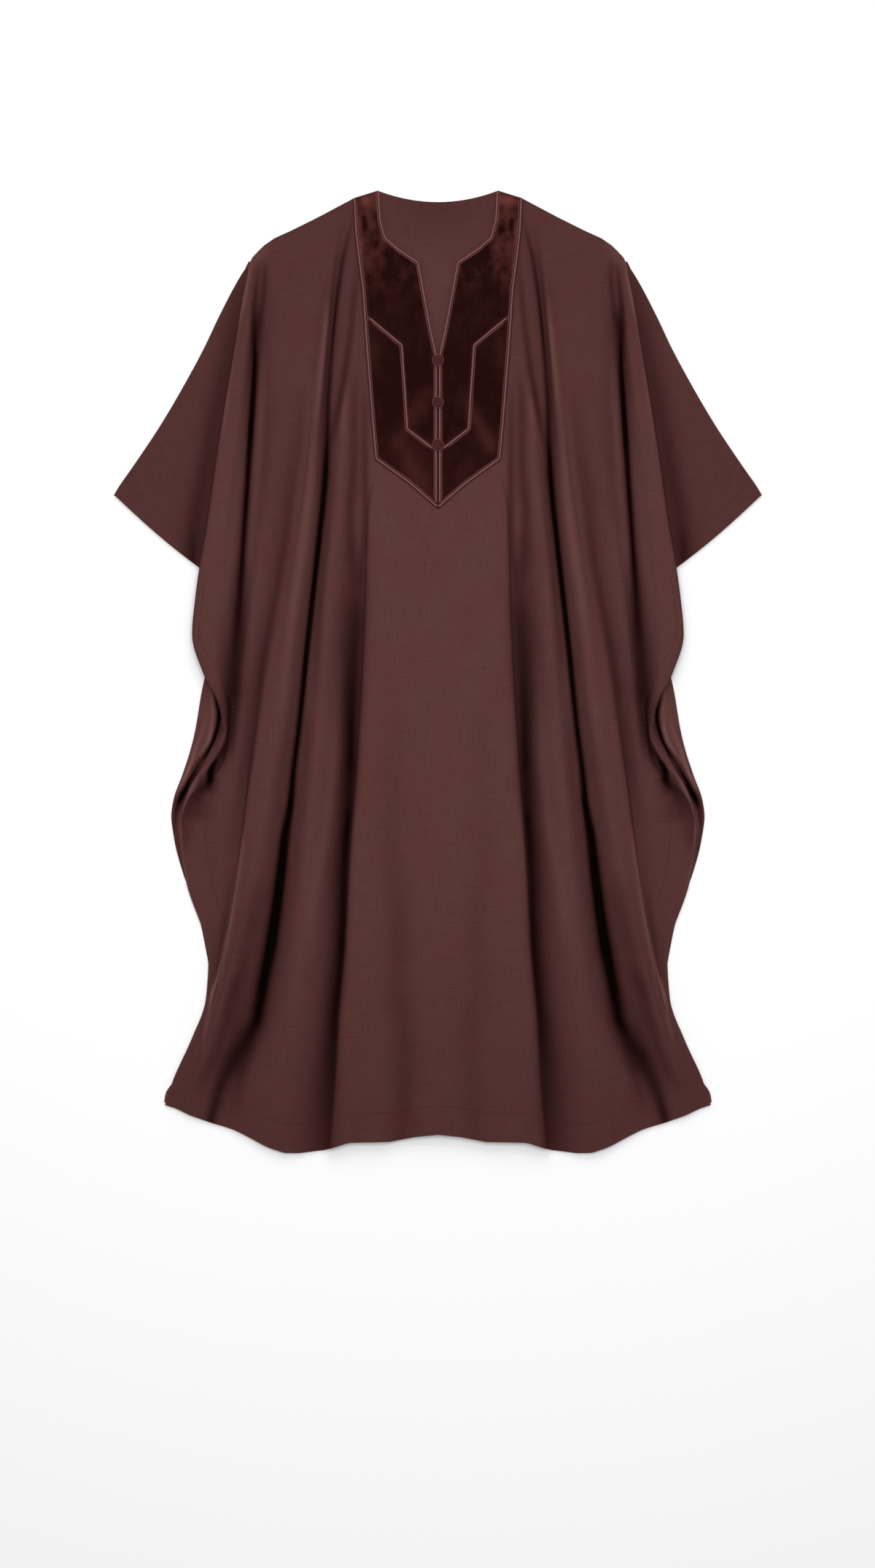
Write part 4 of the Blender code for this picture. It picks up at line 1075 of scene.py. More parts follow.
def build_velvet(sizes, name, side, outer, inner):
    """A bib piece lofted between its edges, crowned between its seams and puckered beside them."""
    outer_points = np.array(along(outer, BIB_SIDE_STEPS + 1))
    inner_points = np.array(along(inner, BIB_SIDE_STEPS + 1))
    t = np.linspace(0, 1, BIB_CROSS_STEPS + 1)
    t = (t + (1 - np.cos(math.pi * t)) / 2) / 2
    flat = inner_points[:, None] + (outer_points - inner_points)[:, None] * t[None, :, None]
    out, down = flat[..., 0], flat[..., 1]
    lie = np.vectorize(bib_top)(out, down)
    width = np.linalg.norm(outer_points - inner_points, axis=1)[:, None]
    from_seam = np.minimum(t[None, :], 1 - t[None, :]) * width
    run = run_lengths(flat, 0)
    from_edge = np.minimum(from_seam, np.minimum(run, run_lengths(flat[::-1], 0)[::-1]))
    crown = sizes.velvet_pile / MM * (1 - np.exp(-from_edge / CROWN_REACH))
    drift = PUCKER_DRIFT * np.sin(run / PUCKER_DRIFT_STEP)
    pucker = np.sin(2 * math.pi * run / PUCKER_STEP + drift) * PUCKER_HEIGHT
    pucker = (pucker + PUCKER_HEIGHT) * np.exp(-from_seam / PUCKER_REACH) * np.clip(from_edge, 0, 1)
    height = lie + SEAM + sizes.velvet_wall / MM / 2 + crown + pucker
    x = side * out
    points = world(x, down, height)
    nap_and_sheen = stroke_field(x, down, NAP_STROKES)
    nap_and_sheen = nap_and_sheen + NAP_SEAM_SHEEN * np.exp(-(from_seam / SEAM_SHEEN_REACH) ** 2)
    attributes = {"nap_and_sheen": nap_and_sheen, "mottling": np.interp(down, MOTTLED_DOWN, MOTTLED)}
    obj = new_piece(name, points, grid_faces(*x.shape, side=side),
                    np.stack([x * MM, -down * MM], -1), [material("velvet")], attributes)
    give_wall(obj, sizes.velvet_wall)
    return obj


def ring_faces(rings, sides, start=0):
    """Faces round a tube whose points follow each other ring by ring, both its ends closed."""
    faces = []
    for ring in range(start, start + (rings - 1) * sides, sides):
        for s in range(sides):
            a, b = ring + s, ring + (s + 1) % sides
            faces.append((a, b, b + sides, a + sides))
    end = start + rings * sides
    return faces + [tuple(range(start, start + sides))[::-1], tuple(range(end - sides, end))]


TUBE_TIP = 0.02             # share of a tube's radius that is left at its very end


def tube(path, radius, sides):
    """Points, faces and map of a round cord along a path of (x, down, height) in millimetres."""
    path = np.asarray(path, float)
    ahead = np.gradient(path, axis=0)
    ahead /= np.linalg.norm(ahead, axis=1)[:, None]
    across = np.cross(ahead, (0, 0, 1))
    across /= np.linalg.norm(across, axis=1)[:, None]
    up = np.cross(across, ahead)
    run = run_lengths(path, 0)
    ends = np.minimum(run, run[-1] - run)
    swell = np.sqrt(np.clip(1 - (1 - np.clip(ends / radius, TUBE_TIP, 1)) ** 2, 0, 1))
    reach = (radius * swell)[:, None]
    points, uv = [], []
    for s in range(sides + 1):
        angle = 2 * math.pi * s / sides
        points.append(path + reach * (across * math.cos(angle) + up * math.sin(angle)))
        around = s / sides * 2 * math.pi * radius * MM
        uv.append(np.stack([np.full_like(run, around), run * MM], -1))
    rings = np.stack(points[:-1], 1)
    corners_uv = [seam[r + step] for r in range(len(path) - 1) for s in range(sides)
                  for seam, step in ((uv[s], 0), (uv[s + 1], 0), (uv[s + 1], 1), (uv[s], 1))]
    corners_uv += [uv[0][0]] * sides + [uv[0][-1]] * sides
    return rings.reshape(-1, 3), ring_faces(len(path), sides), np.array(corners_uv)


def tube_piece(name, tubes, materials, side):
    """One object from several tubes, each with the number of its material."""
    points, faces, corners_uv, slots = [], [], [], []
    for rings, tube_faces, uv, slot in tubes:
        start = sum(len(p) for p in points)
        points.append(rings)
        faces += [tuple(start + i for i in face) for face in tube_faces]
        corners_uv.append(uv)
        slots += [slot] * len(tube_faces)
    out, down, height = np.concatenate(points).T
    obj = new_piece(name, world(side * out, down, height), faces, np.concatenate(corners_uv),
                    materials, uv_at_corners=True)
    obj.data.polygons.foreach_set("material_index", slots)
    outward(obj.data)
    return obj


def outward(mesh):
    """Turns every face of a closed mesh outwards."""
    bm = bmesh.new()
    bm.from_mesh(mesh)
    bmesh.ops.recalc_face_normals(bm, faces=bm.faces)
    bm.to_mesh(mesh)
    bm.free()


CORD_STEP = 1.2             # between two rings of a cord
CORD_ROUNDINGS = 3          # how often its corners are eased


def cord_route(points):
    """A cord's (out, down) points close together, its corners a little rounded."""
    total = sum(math.dist(a, b) for a, b in zip(points, points[1:]))
    route = np.array(along(points, int(total / CORD_STEP)))
    for _ in range(CORD_ROUNDINGS):
        route[1:-1] = (route[:-2] + 2 * route[1:-1] + route[2:]) / 4
    return route


def lifted(route, lift):
    """A route's points brought onto the bib, lift above the front's upper face."""
    tops = np.array([bib_top(max(out, 0.0), down) for out, down in route])
    return np.column_stack([route, tops + lift])


CORD_SIDES = 14
FLANGE_SIDES = 6
FLANGE_LIFT = 0.25          # of the flange's middle over the velvet


def cord_courses():
    """The three cords of one side: course, and the side on which the flange shows (1 is outer)."""
    slit = [(CENTRE_CORD_OUT, down) for down in CENTRE_CORD_DOWN]
    return {
        "neck": (list(NECK[:-1]) + slit, 1),
        "edge": ([EDGE_CORD_ENDS[0]] + list(BIB_EDGE[1:-1]) + [EDGE_CORD_ENDS[1]], -1),
        "inner": ([INNER_CORD_ENDS[0]] + list(BIB_INNER[1:-1]) + [INNER_CORD_ENDS[1]], 1),
    }


# How much of the flange is left off at each end
FLANGE_TRIM = {"neck": (1.5, 5.0), "edge": (2.5, 7.0), "inner": (6.0, 7.0)}


def build_piping(sizes, kind, label, side):
    """One of the bib's cords, with the flange that it is sewn down by."""
    course, flange_side = cord_courses()[kind]
    cord = lifted(cord_route(course), SEAM + CORD_RADIUS)
    route = cord_route(inset(course, flange_side * (sizes.lip_offset / MM)))
    first, last = (int(trim / CORD_STEP) for trim in FLANGE_TRIM[kind])
    flange = lifted(route[first:len(route) - last], SEAM + VELVET + FLANGE_LIFT)
    tubes = [(*tube(cord, CORD_RADIUS, CORD_SIDES), 0),
             (*tube(flange, sizes.lip_radius / MM, FLANGE_SIDES), 1)]
    return tube_piece("piping_cord_" + kind + "_" + label, tubes,
                      [material("piping"), material("flange")], side)


# === making the buttons ==========================================================================
BUTTON_AROUND = 48
# The button from its foot up, as (share of the radius, share of the height)
BUTTON_STAGES = ((0.86, 0.0), (0.97, 0.12), (1.0, 0.27), (0.985, 0.42), (0.93, 0.52), (0.895, 0.5),
                 (0.87, 0.56), (0.76, 0.74), (0.58, 0.88), (0.38, 0.96), (0.18, 0.995))
BUTTON_RIM_STAGES = (2, 5)          # the stretch of stages that is the satin rim


def build_first_button(name, centre, radius, height):
    """A velvet-covered dome in a satin rim: a disc, drawn up stage by stage."""
    bpy.ops.object.select_all(action="DESELECT")
    bpy.ops.mesh.primitive_circle_add(vertices=BUTTON_AROUND, radius=radius * BUTTON_STAGES[0][0],
                                      fill_type="NGON", location=centre)
    obj = bpy.context.object
    obj.name = name
    obj.data.name = name
    bpy.ops.object.mode_set(mode="EDIT")
    bpy.ops.mesh.select_all(action="SELECT")
    bpy.ops.mesh.extrude_region_move()
    for (r0, h0), (r1, h1) in zip(BUTTON_STAGES, BUTTON_STAGES[1:]):
        bpy.ops.transform.translate(value=(0, 0, (h1 - h0) * height))
        bpy.ops.transform.resize(value=(r1 / r0, r1 / r0, 1))
        if (r1, h1) != BUTTON_STAGES[-1]:
            bpy.ops.mesh.extrude_region_move()
    bpy.ops.object.mode_set(mode="OBJECT")
    bpy.ops.object.transform_apply(location=True, rotation=True, scale=True)
    return obj


def build_buttons():
    """The three buttons, each where its solid is: the first is modelled, the others are copies."""
    lo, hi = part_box("button_1")
    foot = Vector(((lo.x + hi.x) / 2, (lo.y + hi.y) / 2, lo.z))
    radius, height = (hi.x - lo.x) / 2, hi.z - lo.z
    first = build_first_button("robe_button_1", foot, radius, height)
    first.data.materials.append(material("button_cover"))
    first.data.materials.append(material("button_rim"))
    rim_foot = BUTTON_STAGES[BUTTON_RIM_STAGES[0] - 1][1] * height
    rim_inner = BUTTON_STAGES[BUTTON_RIM_STAGES[1]][0] * radius
    for face in first.data.polygons:
        off = face.center - foot
        if math.hypot(off.x, off.y) > rim_inner and off.z > rim_foot:
            face.material_index = 1
    outward(first.data)
    smooth_form = first.modifiers.new("Smooth", "SUBSURF")
    smooth_form.levels = smooth_form.render_levels = 1
    apply_modifiers(first)
    first.data.shade_smooth()
    buttons = [first]
    for number in (2, 3):
        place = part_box("button_" + str(number))[0]
        copy = first.copy()
        copy.data = first.data.copy()
        copy.name = copy.data.name = "robe_button_" + str(number)
        copy.data.transform(Matrix.Translation(place - lo))
        bpy.context.scene.collection.objects.link(copy)
        buttons.append(copy)
    return buttons


# === making the stitches =========================================================================
def cloth_normals(points):
    """Upward normals of a sheet's grid of points."""
    normals = np.cross(np.gradient(points, axis=0), np.gradient(points, axis=1))
    normals = normals / np.maximum(np.linalg.norm(normals, axis=-1, keepdims=True), 1e-12)
    return normals * np.sign(normals[..., 2].mean())


def first_reached(points, normals, distance, depth):
    """Walking down each column, the point and normal where the distance first reaches depth."""
    found = []
    for c in range(points.shape[1]):
        reached = np.flatnonzero(distance[:, c] >= depth)
        if not len(reached) or reached[0] == 0:
            continue
        r = reached[0]
        part = (depth - distance[r - 1, c]) / (distance[r, c] - distance[r - 1, c])
        point = points[r - 1, c] + (points[r, c] - points[r - 1, c]) * part
        normal = normals[r - 1, c] + (normals[r, c] - normals[r - 1, c]) * part
        found.append(np.concatenate([point, normal]))
    return np.array(found)


def stitch_lines(sizes):
    """The lines that the hems are sewn along: points and normals, for each object of stitches."""
    lines = {}
    for sheet_name, walks in (("robe_front", ("up", "in_right", "in_left")),
                              ("robe_sleeve_right", ("up",)), ("robe_sleeve_left", ("up",))):
        points, distance = SURFACES[sheet_name]
        normals = cloth_normals(points)
        sheet_lines = []
        for walk in walks:
            grids = (points, normals, distance)
            if walk == "up":
                grids = [grid[::-1] for grid in grids]
            else:
                grids = [np.swapaxes(grid, 0, 1) for grid in grids]
                if walk == "in_left":
                    grids = [grid[::-1] for grid in grids]
            sheet_lines.append(first_reached(*grids, sizes.hem_depth))
        lines[sheet_name.replace("robe_", "hem_stitches_")] = sheet_lines
    return lines


STITCH_RINGS = ((-0.5, 0.4), (-0.32, 1.0), (0.32, 1.0), (0.5, 0.4))   # shares along, of the width
STITCH_SIDES = 5
LEAST_UP = 0.3              # a stitch on cloth steeper than this is hidden in its fold
STITCH_LIFT = 0.00005       # of a stitch's middle over the cloth, in metres
STITCH_PROBE = 0.001        # metres before and after it between which its course is taken


def stitch_row(line, sizes, lift):
    """Short thread bars lying on the cloth, evenly spaced along a line of points and normals."""
    run = run_lengths(line[:, :3], 0)
    stops = np.arange(sizes.stitch_step, run[-1] - sizes.stitch_step, sizes.stitch_step)
    before, at, after = (np.stack([np.interp(stops + away, run, line[:, k]) for k in range(6)], -1)
                         for away in (-STITCH_PROBE, 0, STITCH_PROBE))
    points, faces = [], []
    for place, back, ahead in zip(at, before[:, :3], after[:, :3]):
        normal = place[3:] / np.linalg.norm(place[3:])
        if normal[2] < LEAST_UP:
            continue
        course = (ahead - back) / np.linalg.norm(ahead - back)
        across = np.cross(normal, course)
        start = len(points)
        for along_share, width_share in STITCH_RINGS:
            middle = place[:3] + normal * lift + course * along_share * sizes.stitch_length
            for s in range(STITCH_SIDES):
                angle = 2 * math.pi * s / STITCH_SIDES
                towards = across * math.cos(angle) + normal * math.sin(angle)
                points.append(middle + sizes.stitch_width / 2 * width_share * towards)
        faces += ring_faces(len(STITCH_RINGS), STITCH_SIDES, start)
    return points, faces


def build_stitches(sizes, name, lines):
    """One object of all the stitches along the lines."""
    points, faces = [], []
    for line in lines:
        row_points, row_faces = stitch_row(line, sizes, sizes.cloth_wall / 2 + STITCH_LIFT)
        start = len(points)
        points += row_points
        faces += [tuple(start + i for i in face) for face in row_faces]
    obj = new_piece(name, points, faces, np.array(points)[:, :2], [material("thread")])
    outward(obj.data)
    return obj


# === materials ===================================================================================
def add_node(tree, kind, inputs=None, output=0, **settings):
    """Adds a shader node.  Inputs, by name or number, are values or the sockets to link there."""
    made = tree.nodes.new("ShaderNode" + kind)
    for key, value in settings.items():
        setattr(made, key, value)
    for key, value in (inputs or {}).items():
        if isinstance(value, bpy.types.NodeSocket):
            tree.links.new(value, made.inputs[key])
        else:
            made.inputs[key].default_value = value
    return made.outputs[output] if len(made.outputs) else None


FACTOR, COLOUR_A, COLOUR_B = 0, 6, 7        # a Mix node's inputs when it mixes colours
MIX_COLOURS = {"output": 2, "data_type": "RGBA"}    # and what makes it mix them
SOFT_ENDS = {"interpolation_type": "SMOOTHSTEP"}
# Tints that go with the colours a user would change
SEAM_SHADOW = linear("2c0d0e")      # painted shadow in the ditch beside a seam
CLOTH_FUZZ = linear("a0635c")       # fibres that stand off the suiting
VELVET_SHEEN = linear("9c4a40")     # tips of the bib's pile
SATIN_SHEEN = linear("c9a09c")      # threads of the piping, where they turn
BUTTON_BLOOM = linear("a55a50")     # pile that stands open over a button
DAYLIGHT = linear("ffffff")
# Worn cloth, as shares of its red, green and blue: redder in some places, greyer in others
GREYER, REDDER = (0.985, 1.035, 1.035), (1.005, 0.965, 0.965)
CREST_HIGHLIGHT = (2.0, 2.5, 2.4)       # the same for the painted highlight on a fold's crisp edge
# Painted fold shade is redder, as light bounced in a fold is: powers for its red, and its green and
# blue
BOUNCED_RED, BOUNCED_REST = 0.93, 1.12
HEM_LINE_SHADE, HEM_LINE_DEPTH = 0.14, -0.8     # of the line the hem's stitches draw in
# How much the velvet's patches, streaks and grain lean the pile, and the least it leans anywhere
PATCH_LEAN, STREAK_LEAN, GRAIN_LEAN, LEAST_LEAN = 1.5, 0.07, 0.1, 0.02
FLANGE_STITCH = 0.0024      # metres from one machine stitch of the flange to the next


def rgba(values, factor=1.0):
    return (*(min(v * factor, 1.0) for v in values), 1.0)


def threads(node, place, across_mm, down_mm, detail=2.0):
    """Noise from 0 to 1 whose grains are that wide and long on the cloth."""
    scale = (1 / (across_mm * MM), 1 / (down_mm * MM), 1 / (across_mm * MM))
    stretched = node("Mapping", {"Vector": place, "Scale": scale})
    return node("TexNoise", {"Vector": stretched, "Scale": 1.0, "Detail": detail,
                             "Roughness": 0.5})


def plain_weave(node, place, spacing_mm):
    """Warp over weft and weft over warp in turn, as a height from 0 to 1."""
    scale = (math.pi / (spacing_mm * MM), math.pi / (spacing_mm * MM), 1.0)
    axes = node("SeparateXYZ", {0: node("Mapping", {"Vector": place, "Scale": scale})}, "X")
    warp = node("Math", {0: axes}, operation="SINE")
    weft = node("Math", {0: axes.node.outputs["Y"]}, operation="SINE")
    return node("Math", {0: node("Math", {0: warp, 1: weft}, operation="MULTIPLY"), 1: 0.5, 2: 0.5},
                operation="MULTIPLY_ADD")


def two_tone(node, pattern, spread, first, second, most=1.0):
    """One colour giving way to another as a pattern rises through its spread."""
    share = node("MapRange", {"Value": pattern, "From Min": spread[0], "From Max": spread[1],
                              "To Max": most})
    return node("Mix", {FACTOR: share, COLOUR_A: first, COLOUR_B: second}, **MIX_COLOURS)


def robe_cloth(node, sizes, colours):
    """Worsted wool suiting in a plain weave, piece-dyed plum: a matt face with a slight fuzz and
    threads that thicken here and there, with painted shade where folds close on it, painted
    highlights on crisp edges and hems, and a painted shadow beside the bib's seam."""
    place = node("UVMap", output="UV", uv_map="cloth")
    edge, bib, crest, open_sky = (
        node("Attribute", output="Fac", attribute_name=name)
        for name in ("edge_distance", "bib_distance", "crest", "fold"))
    greyer, redder, crest_highlight_colour = (tuple(value * share for value, share in zip(colours.cloth, shares))
                           for shares in (GREYER, REDDER, CREST_HIGHLIGHT))
    # cloth that was folded away wears a little unevenly, redder or greyer by a hand's breadth
    face = two_tone(node, threads(node, place, 45, 70, 3.0), (0.36, 0.64), rgba(greyer),
                    rgba(redder))
    # fine threads, lighter and darker
    warp, weft = threads(node, place, 1.4, 30), threads(node, place, 26, 1.4)
    fine = node("Math", {0: warp, 1: weft}, operation="ADD")
    tone = node("MapRange", {"Value": fine, "From Min": 0.78, "From Max": 1.22, "To Min": 0.14,
                             "To Max": 0.0})
    # slubs: now and then a thread is thicker and takes more dye, for 20 to 40 mm
    slub_down, slub_across = (
        node("MapRange", {"Value": threads(node, place, across_mm, down_mm, 1.0),
                          "From Min": 0.66, "From Max": 0.82, "To Max": 0.24}, **SOFT_ENDS)
        for across_mm, down_mm in ((1.7, 34), (30, 1.7)))
    # a painted highlight along the pressed fold of each hem, in the piping's colour
    pressed = node("MapRange", {"Value": edge, "From Min": 0.0, "From Max": 0.0022,
                                "To Min": 0.5, "To Max": 0.0}, **SOFT_ENDS)
    # the hem's stitches pull the cloth into a shallow line, bumped in and darkened with painted
    # shade
    off_line = node("Math", {0: node("Math", {0: edge, 1: sizes.hem_depth}, operation="SUBTRACT")},
                    operation="ABSOLUTE")
    line = node("MapRange", {"Value": off_line, "From Min": 0.0003, "From Max": 0.0016,
                             "To Min": 1.0, "To Max": 0.0}, **SOFT_ENDS)
    sewn = node("Math", {0: line, 1: HEM_LINE_SHADE}, operation="MULTIPLY")
    # the bib's seam draws the cloth under its outer cord, and a painted shadow darkens that ditch
    ditch = node("MapRange", {"Value": bib, "From Min": 0.0014, "From Max": 0.0034,
                              "To Min": 0.85, "To Max": 0.0}, **SOFT_ENDS)
    # each of these in turn over the face, and last the painted highlights on the crisp edges of the
    # folds
    for share, over in ((tone, colours.cloth_dye_and_shade), (slub_down, colours.cloth_dye_and_shade),
                        (slub_across, colours.cloth_dye_and_shade), (pressed, colours.piping),
                        (sewn, colours.cloth_dye_and_shade), (ditch, SEAM_SHADOW), (crest, crest_highlight_colour)):
        face = node("Mix", {FACTOR: share, COLOUR_A: face, COLOUR_B: rgba(over)}, **MIX_COLOURS)
    # painted shade of the folds, multiplied in: light that reaches into a fold has bounced off plum
    # cloth, and is redder there
    bounced, dimmed = (node("Math", {0: open_sky, 1: power}, operation="POWER")
                       for power in (BOUNCED_RED, BOUNCED_REST))
    shade = node("CombineColor", {"Red": bounced, "Green": dimmed, "Blue": dimmed})
    face = node("Mix", {FACTOR: 1.0, COLOUR_A: face, COLOUR_B: shade}, blend_type="MULTIPLY",
                **MIX_COLOURS)
    # the real threads lie 0.45 mm apart, and are drawn 0.8 mm apart so that they show
    height = node("Math", {0: plain_weave(node, place, 0.8), 1: 0.6, 2: fine},
                  operation="MULTIPLY_ADD")
    height = node("Math", {0: line, 1: HEM_LINE_DEPTH, 2: height}, operation="MULTIPLY_ADD")
    relief = node("Bump", {"Height": height, "Distance": 0.12 * MM, "Strength": 0.5})
    return node("BsdfPrincipled", {
        "Base Color": face, "Normal": relief, "Roughness": 0.85, "Specular IOR Level": 0.02,
        "Sheen Weight": 0.015, "Sheen Roughness": 0.5, "Sheen Tint": rgba(CLOTH_FUZZ)})


def velvet(node, sizes, colours):
    """Cotton velvet, woven with a short cut pile: nearly black looked at down the pile and warmer
    where it leans away, in brushed patches with a fine grain.  The warmer colour also paints sheen
    over the shoulder and beside the seams."""
    place = node("UVMap", output="UV", uv_map="cloth")
    lean_and_sheen = node("Attribute", output="Fac", attribute_name="nap_and_sheen")
    mottling = node("Attribute", output="Fac", attribute_name="mottling")
    # tufts 0.3 mm apart are too fine to show, and are drawn about 1 mm apart
    patches, streaks, grain = (threads(node, place, *grains)
                               for grains in ((13, 19, 4.0), (4, 14), (0.9, 1.1, 1.0)))
    for pattern, amount in ((patches, PATCH_LEAN), (streaks, STREAK_LEAN), (grain, GRAIN_LEAN)):
        centred = node("Math", {0: pattern, 1: 0.5}, operation="SUBTRACT")
        if pattern is patches:
            centred = node("Math", {0: centred, 1: mottling}, operation="MULTIPLY")
        lean_and_sheen = node("Math", {0: centred, 1: amount, 2: lean_and_sheen}, operation="MULTIPLY_ADD")
    lean_and_sheen = node("Math", {0: lean_and_sheen, 1: LEAST_LEAN}, operation="ADD", use_clamp=True)
    face = node("Mix", {FACTOR: lean_and_sheen, COLOUR_A: rgba(colours.velvet),
                        COLOUR_B: rgba(colours.velvet_brushed_and_sheen)}, **MIX_COLOURS)
    height = node("Math", {0: streaks, 1: 0.5, 2: grain}, operation="MULTIPLY_ADD")
    relief = node("Bump", {"Height": height, "Distance": 0.3 * MM, "Strength": 0.5})
    return node("BsdfPrincipled", {
        "Base Color": face, "Normal": relief, "Roughness": 0.9, "Specular IOR Level": 0.04,
        "Sheen Weight": 0.04, "Sheen Roughness": 0.35, "Sheen Tint": rgba(VELVET_SHEEN)})


def piping(node, sizes, colours):
    """Polyester satin, cut on the bias and drawn over a cotton cord: a soft gloss along the top
    and fine slanting threads, a little uneven along the cord."""
    place = node("UVMap", output="UV", uv_map="cloth")
    slanted = node("Mapping", {"Vector": place, "Rotation": (0.0, 0.0, math.radians(45))})
    # satin threads 0.1 mm apart are too fine to show, and are drawn 0.9 mm apart
    ribs = threads(node, slanted, 0.9, 6, 1.0)
    face = two_tone(node, ribs, (0.35, 0.65), rgba(colours.piping, 0.86),
                    rgba(colours.piping, 1.12))
    face = two_tone(node, threads(node, place, 8, 7), (0.35, 0.65), face,
                    rgba(colours.piping, 0.9), 0.5)
    relief = node("Bump", {"Height": ribs, "Distance": 0.15 * MM, "Strength": 0.5})
    return node("BsdfPrincipled", {
        "Base Color": face, "Normal": relief, "Roughness": 0.5, "Specular IOR Level": 0.4,
        "Sheen Weight": 0.1, "Sheen Roughness": 0.4, "Sheen Tint": rgba(SATIN_SHEEN)})


def flange(node, sizes, colours):
    """The satin piping's sewn edge, pressed flat under a row of machine stitches 2.4 mm long."""
    place = node("UVMap", output="UV", uv_map="cloth")
    stretched = node("Mapping", {"Vector": place, "Scale": (1.0, 2 * math.pi / FLANGE_STITCH, 1.0)})
    run = node("SeparateXYZ", {0: stretched}, "Y")
    gap = node("MapRange", {"Value": node("Math", {0: run}, operation="SINE"), "From Min": 0.2,
                            "From Max": 0.9}, **SOFT_ENDS)
    face = node("Mix", {FACTOR: gap, COLOUR_A: rgba(colours.flange),
                        COLOUR_B: rgba(colours.flange, 0.45)}, **MIX_COLOURS)
    relief = node("Bump", {"Height": gap, "Distance": 0.2 * MM, "Strength": 0.4})
    return node("BsdfPrincipled", {"Base Color": face, "Normal": relief, "Roughness": 0.6,
                                   "Specular IOR Level": 0.3})


def button_cover(node, sizes, colours):
    """Cotton velvet stretched over a domed button: its pile stands open there, so it takes a
    soft bloom."""
    place = node("TexCoord", output="Object")
    face = two_tone(node, threads(node, place, 6, 5, 1.0), (0.3, 0.7),
                    rgba(colours.button, 0.85), rgba(colours.button, 1.15))
    grain = threads(node, place, 0.8, 0.8, 1.0)
    face = two_tone(node, grain, (0.35, 0.65), face, rgba(colours.button, 0.75), 0.4)
    relief = node("Bump", {"Height": grain, "Distance": 0.25 * MM, "Strength": 0.4})
    return node("BsdfPrincipled", {
        "Base Color": face, "Normal": relief, "Roughness": 0.75, "Specular IOR Level": 0.1,
        "Sheen Weight": 0.06, "Sheen Roughness": 0.35, "Sheen Tint": rgba(BUTTON_BLOOM)})


def button_rim(node, sizes, colours):
    """Satin turned over the button's edge: smoother and lighter than its cover."""
    place = node("TexCoord", output="Object")
    creased = threads(node, place, 1.5, 1.5, 1.0)
    face = two_tone(node, creased, (0.3, 0.7), rgba(colours.button_rim, 0.8),
                    rgba(colours.button_rim, 1.05))
    relief = node("Bump", {"Height": creased, "Distance": 0.1 * MM, "Strength": 0.3})
    return node("BsdfPrincipled", {"Base Color": face, "Normal": relief, "Roughness": 0.45,
                                   "Specular IOR Level": 0.4})


def thread(node, sizes, colours):
    """Spun polyester sewing thread: a dull twisted strand."""
    place = node("TexCoord", output="Object")
    face = two_tone(node, threads(node, place, 0.4, 0.4, 1.0), (0.3, 0.7),
                    rgba(colours.thread, 0.8), rgba(colours.thread))
    return node("BsdfPrincipled", {"Base Color": face, "Roughness": 0.65,
                                   "Specular IOR Level": 0.3})


def floor_paint(node, sizes, colours):
    """Matt emulsion on board: even and pale, with the faintest roller texture, 4 mm across."""
    place = node("TexCoord", output="Object")
    face = node("Mix", {FACTOR: threads(node, place, 4, 4), COLOUR_A: rgba(colours.floor, 0.99),
                        COLOUR_B: rgba(colours.floor)}, **MIX_COLOURS)
    return node("BsdfPrincipled", {"Base Color": face, "Roughness": 0.9,
                                   "Specular IOR Level": 0.1})


FINISHES = {
    "robe_cloth": ("plum_worsted_suiting", robe_cloth),
    "velvet": ("dark_cotton_velvet", velvet),
    "piping": ("rose_brown_satin_piping", piping),
    "flange": ("sewn_satin_flange", flange),
    "button_cover": ("button_cotton_velvet", button_cover),
    "button_rim": ("button_satin_rim", button_rim),
    "thread": ("plum_polyester_thread", thread),
    "floor": ("pale_matt_emulsion", floor_paint),
}


def material(kind):
    """The finish of that kind, made when it is first asked for."""
    name, finish = FINISHES[kind]
    made = bpy.data.materials.get(name)
    if made is None:
        made = bpy.data.materials.new(name)
        made.use_nodes = True
        made.node_tree.nodes.clear()
        node = functools.partial(add_node, made.node_tree)
        scene = bpy.context.scene
        node("OutputMaterial", {"Surface": finish(node, scene.boubou_sizes, scene.boubou_colours)})
    return made


# === the floor, the light and the camera =========================================================
# name, place of the middle, (width, height), and power in watts
LIGHTS = (
    ("overhead_softbox", (0.0, 0.3, 3.2), (1.6, 1.2), 53.0),
    ("slant_softbox", (0.0, 2.6, 2.4), (2.0, 2.2), 42.0),
)
AIM = Vector((0, 0, 0))     # the point that both face
SKY = 0.58                  # strength of the even light from all round
VIEW_CENTRE = Vector((-0.0005, -0.139, 0.01))
SENSOR_LONG_SIDE = 0.036
SIGHT = 100.0               # how far the camera sees
FLOOR_SIZE = 9.0
FLOOR_DROP = 0.0004         # of the floor under the robe, so that their faces don't flicker


def build_floor():
    bpy.ops.object.select_all(action="DESELECT")
    bpy.ops.mesh.primitive_grid_add(x_subdivisions=4, y_subdivisions=4, size=FLOOR_SIZE,
                                    location=(0, 0, -FLOOR_DROP))
    ground = bpy.context.object
    ground.name = ground.data.name = "studio_floor"
    bpy.ops.object.transform_apply(location=True, rotation=False, scale=False)
    ground.data.materials.append(material("floor"))


def build_lights():
    for name, place, (width, height), power in LIGHTS:
        data = bpy.data.lights.new(name, "AREA")
        data.shape = "RECTANGLE"
        data.size, data.size_y, data.energy = width, height, power
        lamp = new_object(name, data)
        lamp.location = place
        lamp.rotation_euler = (AIM - Vector(place)).to_track_quat("-Z", "Y").to_euler()
        lamp.visible_camera = False
    world_light = bpy.data.worlds.new("studio_air")
    world_light.use_nodes = True
    background = world_light.node_tree.nodes["Background"]
    background.inputs["Color"].default_value = rgba(DAYLIGHT)
    background.inputs["Strength"].default_value = SKY
    bpy.context.scene.world = world_light


